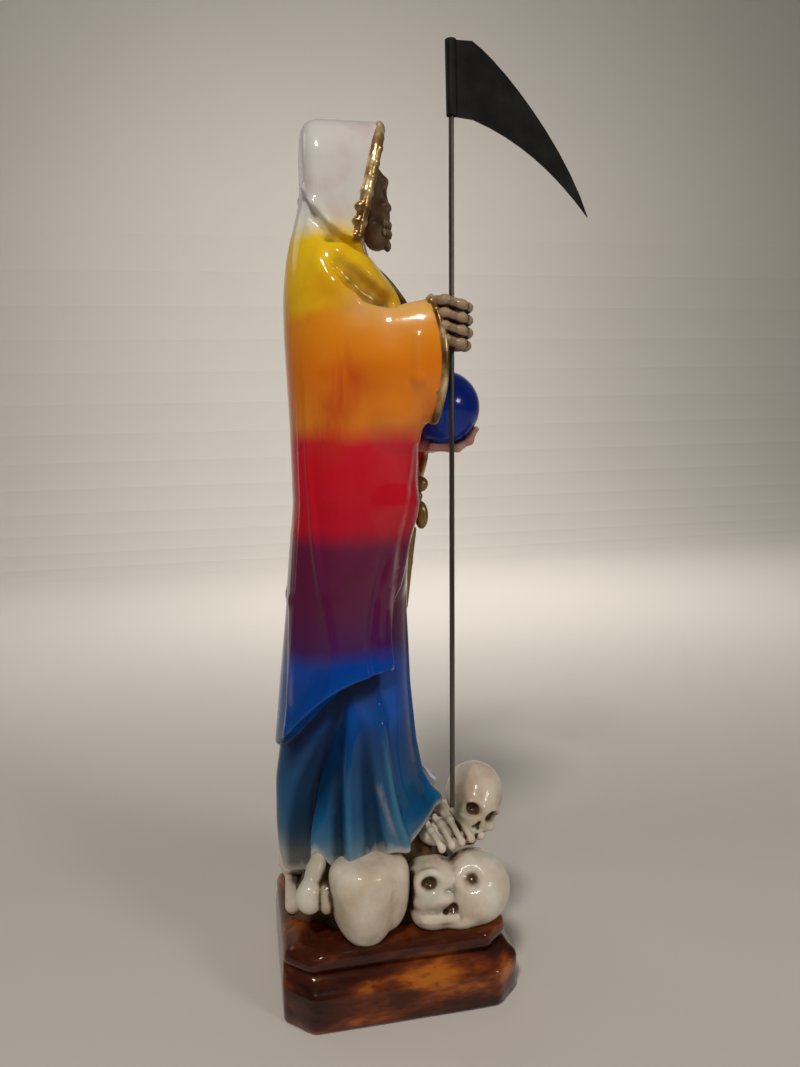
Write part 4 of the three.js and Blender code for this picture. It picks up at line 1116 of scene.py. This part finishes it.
def wash_and_crease_shade_group():
    tree = bpy.data.node_groups.new("wash_and_crease_shade", "ShaderNodeTree")
    for name, kind, value in [("Paint", "Color", (0.7, 0.7, 0.7, 1)), ("Wash", "Color", (0.1, 0.05, 0.02, 1)),
                              ("Rubbed", "Color", (0.8, 0.75, 0.65, 1)), ("Wash Start", "Float", 0.05),
                              ("Wash Full", "Float", 0.5), ("Rub Start", "Float", -0.3),
                              ("Rub Full", "Float", -0.6)]:
        socket = tree.interface.new_socket(name, in_out="INPUT", socket_type=f"NodeSocket{kind}")
        socket.default_value = value
    tree.interface.new_socket("Color", in_out="OUTPUT", socket_type="NodeSocketColor")
    tree.interface.new_socket("Hollow", in_out="OUTPUT", socket_type="NodeSocketFloat")
    inputs, output = tree.nodes.new("NodeGroupInput"), tree.nodes.new("NodeGroupOutput")
    mark = tree.nodes.new("ShaderNodeAttribute")
    mark.attribute_name = "hollow"
    ragged = sums(tree, "MULTIPLY_ADD", clouds(tree, 420, 3), 0.3)
    ragged.node.inputs[2].default_value = -0.15
    level = sums(tree, "ADD", mark.outputs["Fac"], ragged)
    # Creases take the wash colour: a brown wash and painted shade together.
    wash = spread(tree, level, inputs.outputs["Wash Start"], inputs.outputs["Wash Full"])
    rub = spread(tree, level, inputs.outputs["Rub Start"], inputs.outputs["Rub Full"])
    washed = blend_colours(tree, wash, inputs.outputs["Paint"], inputs.outputs["Wash"])
    rubbed = blend_colours(tree, rub, washed, inputs.outputs["Rubbed"])
    tree.links.new(rubbed, output.inputs["Color"])
    tree.links.new(wash, output.inputs["Hollow"])
    return tree


def mould_skin_group():
    tree = bpy.data.node_groups.new("mould_skin", "ShaderNodeTree")
    for name, value in (("Height", 0.5), ("Scale", 300.0)):
        socket = tree.interface.new_socket(name, in_out="INPUT", socket_type="NodeSocketFloat")
        socket.default_value = value
    tree.interface.new_socket("Normal", in_out="OUTPUT", socket_type="NodeSocketVector")
    inputs, output = tree.nodes.new("NodeGroupInput"), tree.nodes.new("NodeGroupOutput")
    place, grain = tree.nodes.new("ShaderNodeTexCoord"), tree.nodes.new("ShaderNodeTexNoise")
    grain.inputs["Detail"].default_value = 2.0
    tree.links.new(place.outputs["Object"], grain.inputs["Vector"])
    tree.links.new(inputs.outputs["Scale"], grain.inputs["Scale"])
    slow = clouds(tree, 90, 1.0)
    height = sums(tree, "MULTIPLY_ADD", slow, 2.2)
    tree.links.new(grain.outputs["Fac"], height.node.inputs[2])
    bump = tree.nodes.new("ShaderNodeBump")
    bump.inputs["Distance"].default_value = 0.00012
    tree.links.new(inputs.outputs["Height"], bump.inputs["Strength"])
    tree.links.new(height, bump.inputs["Height"])
    tree.links.new(bump.outputs["Normal"], output.inputs["Normal"])
    return tree


wash_and_crease_shade, mould_skin = wash_and_crease_shade_group(), mould_skin_group()
finishes = {}
varnish_share, base_gloss = 0.55, 0.1  # thin varnish over nearly matt paint, so that dark colours stay dark


def mark_value(tree, name):
    """The value of a mark that the joined casting keeps at its points."""
    node = tree.nodes.new("ShaderNodeAttribute")
    node.attribute_name = name
    return node.outputs["Fac"]


def new_paint(name, roughness, coat, metallic=0.0, bump=0.5, bump_scale=300.0):
    """A painted finish: its tree, its shader and its skin of bumps. The colour is linked by the caller."""
    material = bpy.data.materials.new(name)
    material.use_nodes = True
    tree = material.node_tree
    shader = tree.nodes["Principled BSDF"]
    shader.inputs["Roughness"].default_value = roughness
    shader.inputs["Coat Weight"].default_value = coat * varnish_share
    shader.inputs["Specular IOR Level"].default_value = base_gloss
    shader.inputs["Coat Roughness"].default_value = 0.07
    shader.inputs["Metallic"].default_value = metallic
    skin = tree.nodes.new("ShaderNodeGroup")
    skin.node_tree = mould_skin
    skin.inputs["Height"].default_value, skin.inputs["Scale"].default_value = bump, bump_scale
    tree.links.new(skin.outputs["Normal"], shader.inputs["Normal"])
    finishes[name] = material
    return tree, shader


def washed(tree, shader, paint, wash, rubbed, wash_range, rub_range):
    group = tree.nodes.new("ShaderNodeGroup")
    group.node_tree = wash_and_crease_shade
    for name, value in (("Paint", paint), ("Wash", wash), ("Rubbed", rubbed)):
        if isinstance(value, bpy.types.NodeSocket):
            tree.links.new(value, group.inputs[name])
        else:
            group.inputs[name].default_value = (*value, 1)
    group.inputs["Wash Start"].default_value, group.inputs["Wash Full"].default_value = wash_range
    group.inputs["Rub Start"].default_value, group.inputs["Rub Full"].default_value = rub_range
    tree.links.new(group.outputs["Color"], shader.inputs["Base Color"])
    return group


print("paint groups ready")

# %% [markdown]
# ## Robe paint
# Seven airbrushed bands run round the robe at fixed heights and melt into each other over a few millimetres,
# so the colour follows the height of each point, shaken a little by slow clouds. Marks for folds, edges and
# dabs of the brush are laid over the bands; some are painted light and shade: highlights on the sleeve
# tops and fold ridges, shade in the folds, shoulder hollows and sleeve mouths, and shadow under the mantle's
# hem.

# %% Bands of the robe
band_stops = [  # height in millimetres, colour
    (36, (0.50, 0.46, 0.38)), (43, (0.38, 0.40, 0.38)), (47, (0.16, 0.25, 0.30)), (52, (0.03, 0.13, 0.24)),
    (58, (0.002, 0.085, 0.22)), (72, (0.001, 0.055, 0.17)), (80, (0.001, 0.050, 0.21)),
    (88, (0.0005, 0.075, 0.36)), (103, (0.0005, 0.050, 0.34)),
    (109, (0.06, 0.008, 0.09)), (120, (0.10, 0.008, 0.05)), (138, (0.13, 0.010, 0.05)),
    (144, (0.50, 0.006, 0.022)), (160, (0.60, 0.006, 0.018)), (168, (0.62, 0.012, 0.03)),
    (174, (0.74, 0.22, 0.02)), (190, (0.78, 0.20, 0.008)), (203, (0.82, 0.30, 0.012)),
    (207, (0.84, 0.48, 0.010)), (226, (0.86, 0.56, 0.010)),
    (231, (0.72, 0.67, 0.50)), (236, (0.68, 0.66, 0.64))]
band_low, band_high = 30, 270

tree, shader = new_paint("robe", 0.24, 1.0, bump=0.45)
height = tree.nodes.new("ShaderNodeSeparateXYZ")
place = tree.nodes.new("ShaderNodeTexCoord")
tree.links.new(place.outputs["Object"], height.inputs["Vector"])
shaken = sums(tree, "MULTIPLY_ADD", clouds(tree, 38, 2), 0.008)
tree.links.new(height.outputs["Z"], shaken.node.inputs[2])
shaken = sums(tree, "SUBTRACT", shaken, 0.004 + band_low * mm)
along_bands = sums(tree, "MULTIPLY", shaken, 1 / ((band_high - band_low) * mm))
bands = ramp_node(tree, along_bands, [((stop - band_low) / (band_high - band_low), colour)
                                      for stop, colour in band_stops])
patches = spread(tree, clouds(tree, 55, 3), 0.48, 0.66)
deeper = blend_colours(tree, 1.0, bands, (0.82, 0.58, 0.62), "MULTIPLY")
patchy = blend_colours(tree, sums(tree, "MULTIPLY", patches, 0.45), bands, deeper)
# Grey-blue and violet dabs on the inner robe at the front; the palest dabs are painted highlights.
dabs = ramp_node(tree, clouds(tree, 240, 2, stretch=(1, 1, 0.6)), [
    (0.36, (0.10, 0.16, 0.26)), (0.47, (0.20, 0.26, 0.33)), (0.55, (0.17, 0.11, 0.28)),
    (0.64, (0.62, 0.64, 0.68))])
for name, colour, strength in (
        # pale peach is a painted highlight along the tops of the sleeves
        ("peach", (0.84, 0.46, 0.20), 0.75), ("ember", (0.50, 0.035, 0.010), 0.8),
        # near-black navy is painted shade in the skirt's folds and painted shadow under the mantle's hem
        ("deep_fold", (0.001, 0.006, 0.025), 0.9), ("fold_ridge", (0.05, 0.22, 0.36), 0.6),
        # dark amber is painted shade in the shoulder hollows
        ("front_panel", dabs, 1.0), ("amber_shade", (0.26, 0.13, 0.010), 0.8),
        ("hem_edge", (0.56, 0.54, 0.48), 0.85), ("rubbed_line", (0.52, 0.45, 0.42), 0.32),
        # dark olive inside the sleeve mouths is painted shade
        ("sleeve_inside", (0.10, 0.085, 0.035), 1.0)):
    patchy = blend_colours(tree, sums(tree, "MULTIPLY", mark_value(tree, name), strength), patchy, colour)
# The robe's creases take a darker copy of its own paint: painted shade.
dark = blend_colours(tree, 1.0, patchy, (0.32, 0.34, 0.30), "MULTIPLY")
creases = washed(tree, shader, patchy, dark, (0.50, 0.42, 0.34), (0.15, 0.55), (-0.38, -0.66))
dull = sums(tree, "MAXIMUM", creases.outputs["Hollow"], mark_value(tree, "deep_fold"))
tree.links.new(spread(tree, dull, 0.1, 0.9, varnish_share, 0.1), shader.inputs["Coat Weight"])
print("robe bands:", len(band_stops))

# %% Bone paints, from pale to dark
tree, shader = new_paint("bone", 0.30, 0.7, bump=0.6, bump_scale=420)
ivory = ramp_node(tree, clouds(tree, 60, 4), [(0.3, (0.50, 0.38, 0.26)), (0.48, (0.66, 0.56, 0.44)),
                                              (0.66, (0.78, 0.72, 0.62))])
tinted = blend_colours(tree, sums(tree, "MULTIPLY", spread(tree, clouds(tree, 75, 2), 0.55, 0.7), 0.45),
                       ivory, (0.34, 0.37, 0.26))
# Greenish grey on the long bone, the toe knuckles and the top skull's back side; on the skull it is a painted
# reflection.
tinted = blend_colours(tree, sums(tree, "MULTIPLY", mark_value(tree, "stain"), 0.7), tinted, (0.20, 0.24, 0.17))
washed(tree, shader, tinted, (0.075, 0.038, 0.015), (0.76, 0.70, 0.61), (-0.03, 0.27), (-0.4, -0.7))

tree, shader = new_paint("washed_bone", 0.34, 0.5, bump=0.6, bump_scale=480)
washed(tree, shader, (0.38, 0.26, 0.16), (0.05, 0.024, 0.010), (0.64, 0.53, 0.40), (-0.18, 0.12), (-0.3, -0.55))

tree, shader = new_paint("dark_bone", 0.45, 0.25, bump=0.8, bump_scale=480)
dusty = ramp_node(tree, clouds(tree, 160, 3), [(0.35, (0.11, 0.062, 0.034)), (0.65, (0.22, 0.14, 0.085))])
washed(tree, shader, dusty, (0.030, 0.017, 0.009), (0.36, 0.28, 0.19), (-0.05, 0.35), (-0.3, -0.6))

tree, shader = new_paint("pale_hand", 0.34, 0.6, bump=0.5, bump_scale=420)
flush = ramp_node(tree, clouds(tree, 140, 2), [(0.35, (0.60, 0.24, 0.20)), (0.65, (0.66, 0.47, 0.40))])
washed(tree, shader, flush, (0.20, 0.05, 0.035), (0.76, 0.66, 0.58), (0.0, 0.4), (-0.3, -0.6))

# Very dark brown: painted shade in the gaps between the bones under the hem.
tree, shader = new_paint("bedding", 0.5, 0.4, bump=1.0, bump_scale=350)
washed(tree, shader, (0.11, 0.062, 0.030), (0.02, 0.010, 0.005), (0.20, 0.12, 0.06), (0.0, 0.4), (-0.3, -0.6))
print("bone paints done")

# %% Gold, globe and collar
tree, shader = new_paint("gold", 0.3, 0.6, metallic=0.65, bump=0.8, bump_scale=520)
# The gold is patchy: its dark brown stretches are painted shade and its cream spots painted highlights.
leaf = ramp_node(tree, clouds(tree, 170, 3), [(0.36, (0.17, 0.085, 0.030)), (0.5, (0.46, 0.28, 0.11)),
                                              (0.66, (0.90, 0.68, 0.38))])
tree.links.new(leaf, shader.inputs["Base Color"])

tree, shader = new_paint("old_gold", 0.34, 0.5, metallic=0.55, bump=0.9, bump_scale=480)
washed(tree, shader, (0.30, 0.19, 0.055), (0.05, 0.028, 0.012), (0.66, 0.46, 0.16), (-0.1, 0.3), (-0.3, -0.6))

tree, shader = new_paint("globe_blue", 0.26, 1.0, bump=0.3)
cobalt = ramp_node(tree, clouds(tree, 60, 2), [(0.35, (0.001, 0.016, 0.26)), (0.65, (0.001, 0.045, 0.40))])
tree.links.new(cobalt, shader.inputs["Base Color"])

# The collar is painted dark olive-brown as shade at the throat under the hood.
tree, shader = new_paint("collar_brown", 0.32, 0.8, bump=0.6)
olive = ramp_node(tree, clouds(tree, 220, 2), [(0.42, (0.035, 0.018, 0.012)), (0.6, (0.16, 0.13, 0.04))])
washed(tree, shader, olive, (0.17, 0.14, 0.045), (0.03, 0.015, 0.01), (0.05, 0.3), (-0.2, -0.5))
print("gold, globe and collar done")

# %% [markdown]
# ## Plinth lacquer
# The plinth is sponged in amber over a dark red-brown and varnished thickly, so its colour is made of long
# smeared clouds and its coat is smooth and clear.

# %% Plinth paint
tree, shader = new_paint("lacquered_plinth", 0.22, 1.0, bump=0.8, bump_scale=160)
smears = clouds(tree, 34, 4, stretch=(1.0, 0.8, 2.6), rough=0.6)
smears = sums(tree, "ADD", smears, sums(tree, "MULTIPLY", mark_value(tree, "amber"), 0.16))
wood = ramp_node(tree, smears, [
    (0.40, (0.016, 0.004, 0.002)), (0.52, (0.060, 0.012, 0.004)), (0.60, (0.17, 0.035, 0.008)),
    (0.68, (0.40, 0.11, 0.012)), (0.80, (0.52, 0.19, 0.02))])
fine = spread(tree, clouds(tree, 260, 3, stretch=(1, 1, 3)), 0.5, 0.7)
wood = blend_colours(tree, sums(tree, "MULTIPLY", fine, 0.5), wood, (0.05, 0.012, 0.006))
washed(tree, shader, wood, (0.02, 0.008, 0.004), (0.22, 0.15, 0.10), (0.3, 0.6), (-0.5, -0.8))
print("plinth paint done")

# %% Rod and blade keep their solids and get real finishes
tree, shader = new_paint("rod_metal", 0.38, 0.0, metallic=0.75, bump=0.4, bump_scale=900)
drawn = ramp_node(tree, clouds(tree, 500, 3, stretch=(1, 1, 0.05)), [(0.35, (0.050, 0.042, 0.036)),
                                                                    (0.65, (0.13, 0.115, 0.10))])
tree.links.new(drawn, shader.inputs["Base Color"])
tree, shader = new_paint("blade_black", 0.55, 0.15, bump=0.7, bump_scale=500)
matt = ramp_node(tree, clouds(tree, 120, 4), [(0.4, (0.006, 0.0055, 0.005)), (0.7, (0.016, 0.015, 0.013))])
tree.links.new(matt, shader.inputs["Base Color"])
for node_name, finish in (("scythe_rod", "rod_metal"), ("scythe_blade", "blade_black")):
    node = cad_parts[node_name]
    node.data.materials.clear()
    node.data.materials.append(finishes[finish])

tree, shader = new_paint("floor_paper", 0.8, 0.0, bump=0.1)
paper = ramp_node(tree, clouds(tree, 3, 2), [(0.3, (0.70, 0.66, 0.61)), (0.7, (0.72, 0.68, 0.63))])
tree.links.new(paper, shader.inputs["Base Color"])
floor_mesh.materials.append(finishes["floor_paper"])
print("rod, blade and floor painted")

# %% [markdown]
# ## Join the casting
# All shells become one object in metres, each face with its own paint. It replaces the imported casting, rides
# on the one body and keeps its marks, which the wash with its painted crease shade and the painted shade
# inside the sleeves read.

# %% Marks that the paints read
def sleeve_inside(points):
    """1 inside a bell mouth, which is painted dark olive as shade, 0 outside it."""
    marks = np.zeros(len(points))
    for table, lean in ((right_sleeve, right_lean), (left_sleeve, left_lean)):
        inside = sleeve_shape(table, sleeve_wall, -3, table[0, 0] + sleeve_recess + 1, lean)
        marks = np.maximum(marks, smooth_step(1.1, 0.5, inside(points[:, 0], points[:, 1], points[:, 2])))
    return marks


def near_line(points, line, width):
    """1 on a line of points, fading to 0 a width away; both sides of the figure count alike."""
    place = (np.abs(points[:, 0]), points[:, 1], points[:, 2])
    gaps = [rod_between(start, end, 0, 0)[2](*place) for start, end in zip(line, line[1:])]
    return np.exp(-(np.min(gaps, axis=0) / width) ** 2)


def near_spots(points, spots):
    """1 at the middle of each round spot, fading outward."""
    return np.max([np.exp(-((points - np.array(middle)) ** 2).sum(axis=1) / reach ** 2)
                   for middle, reach in spots], axis=0)


# The first spots are painted highlights on the sleeve tops; the second are deep red blotches in the orange.
sleeve_highlight_spots = [((-21, -9, 206), 6), ((-20, -2, 206), 6), ((-18.5, 5, 206), 5), ((15, -12, 186), 6)]
ember_spots = [((-19, 9.5, 186), 5), ((-18, 13, 179), 5), ((-17.5, 15, 171), 5), ((18, 12, 180), 7)]


def front_panel(points):
    turn, _, _, _ = robe_place(*points.T)
    low = smooth_step(84, 74, points[:, 2]) * smooth_step(46, 54, points[:, 2])
    return smooth_step(27, 19, np.abs(np.degrees(turn))) * low


def robe_marks(points):
    lines = [near_line(points, line, width) for line, width in
             ((front_edge, 0.5), (back_ridge, 0.7), (skirt_ridge, 0.8))]
    turn, share, _, _ = robe_place(*points.T)
    degrees = np.abs(np.degrees(turn))
    below_mantle = (mantle_hem_share(turn) - share) * robe_rise
    fold_middle = -mix(dark_fold_low, dark_fold_high, share / dark_fold_end)
    # Painted shade: the broad fold behind the side, the skirt's fold hollows and a band under the mantle's hem
    # go near-black navy.
    fold_shade_mask = np.exp(-((degrees - fold_middle) / 10) ** 2) * smooth_step(0.0, 0.05, share)
    overhang = smooth_step(11, 3, below_mantle) * smooth_step(70, 80, degrees) * smooth_step(168, 150, degrees)
    on_skirt = smooth_step(0.2, 0.8, below_mantle)
    fold = fold_height(turn, share)
    above_hem = points[:, 2] - hem_z - hem_lift(turn)
    return {
        "sleeve_inside": sleeve_inside(points),
        "rubbed_line": np.max(lines, axis=0),
        "peach": near_spots(points, sleeve_highlight_spots),
        "ember": near_spots(points, ember_spots),
        "front_panel": front_panel(points),
        "deep_fold": np.max([fold_shade_mask, overhang, 0.75 * smooth_step(-0.6, -2.2, fold)], axis=0) * on_skirt,
        # Raised folds near the hem go a lighter blue: rubbed paint, and painted highlight on the ridges.
        "fold_ridge": smooth_step(0.2, 1.6, fold) * on_skirt * smooth_step(92, 70, points[:, 2]),
        # Painted shade: dark amber in the hollow between the cape and each sleeve.
        "amber_shade": near_spots(points, [((side * px, py, pz), 3.4) for px, py, pz in shoulder_hollow
                                           for side in (-1, 1)]),
        "hem_edge": smooth_step(3.0, 0.8, above_hem),
    }


def bone_marks(points):
    shaft_mark = np.exp(-(np.min([rod_between(start, end, 0, 0)[2](*points.T)
                                  for start, end in zip(shaft[:2], shaft[1:])], axis=0) / 3.4) ** 2)
    # The spot on the top skull is a painted reflection; the knuckle spots are a greenish tint.
    spots = [((-15, -20.5, on_top + 31), 4.5), *((spot, 1.7) for spot in knuckles)]
    return {"stain": np.maximum(shaft_mark, near_spots(points, spots))}


def plinth_marks(points):
    """More amber on the long faces of the foot, less at their back corners and on the slab."""
    low = smooth_step(15, 12, points[:, 2]) * smooth_step(1, 4, points[:, 2])
    return {"amber": 0.9 * low * smooth_step(24, 15, points[:, 1]) * smooth_step(-36, -30, points[:, 1])
            + 0.45 * smooth_step(31, 35, points[:, 1]) * smooth_step(6, 12, points[:, 2])}


marks_of = {"robe": robe_marks, "bone": bone_marks, "lacquered_plinth": plinth_marks}
print("marks for", ", ".join(marks_of))

# %% One object from all shells
order = sorted({finish for _, finish, *_ in shells})
offset = 0
all_points, all_faces, all_finish, all_hollow = [], [], [], []
for name, finish, points, faces, hollow in shells:
    all_points.append(points)
    all_faces.append(faces + offset)
    all_finish.append(np.full(len(faces), order.index(finish)))
    all_hollow.append(hollow)
    offset += len(points)
all_points = np.vstack(all_points)
casting_mesh = mesh_of("cast_figure_painted", all_points * mm, np.vstack(all_faces))
casting_mesh.polygons.foreach_set("material_index", np.concatenate(all_finish).astype(np.int32))
casting_mesh.polygons.foreach_set("use_smooth", np.ones(len(casting_mesh.polygons), bool))
for finish in order:
    casting_mesh.materials.append(finishes[finish])
marks = {"hollow": np.concatenate(all_hollow)}
offset = 0
for name, finish, points, faces, hollow in shells:
    for mark_name, values in marks_of.get(finish, lambda _: {})(points).items():
        marks.setdefault(mark_name, np.zeros(len(all_points)))[offset:offset + len(points)] = values
    offset += len(points)
for name, values in marks.items():
    mark = casting_mesh.attributes.new(name, "FLOAT", "POINT")
    mark.data.foreach_set("value", values.astype(np.float32))
casting_mesh.update()
casting = bpy.data.objects.new("cast_figure_painted", casting_mesh)
bpy.context.collection.objects.link(casting)
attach(casting, "root")
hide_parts("cast_figure")
print("casting:", len(casting_mesh.polygons), "triangles,", len(order), "paints")
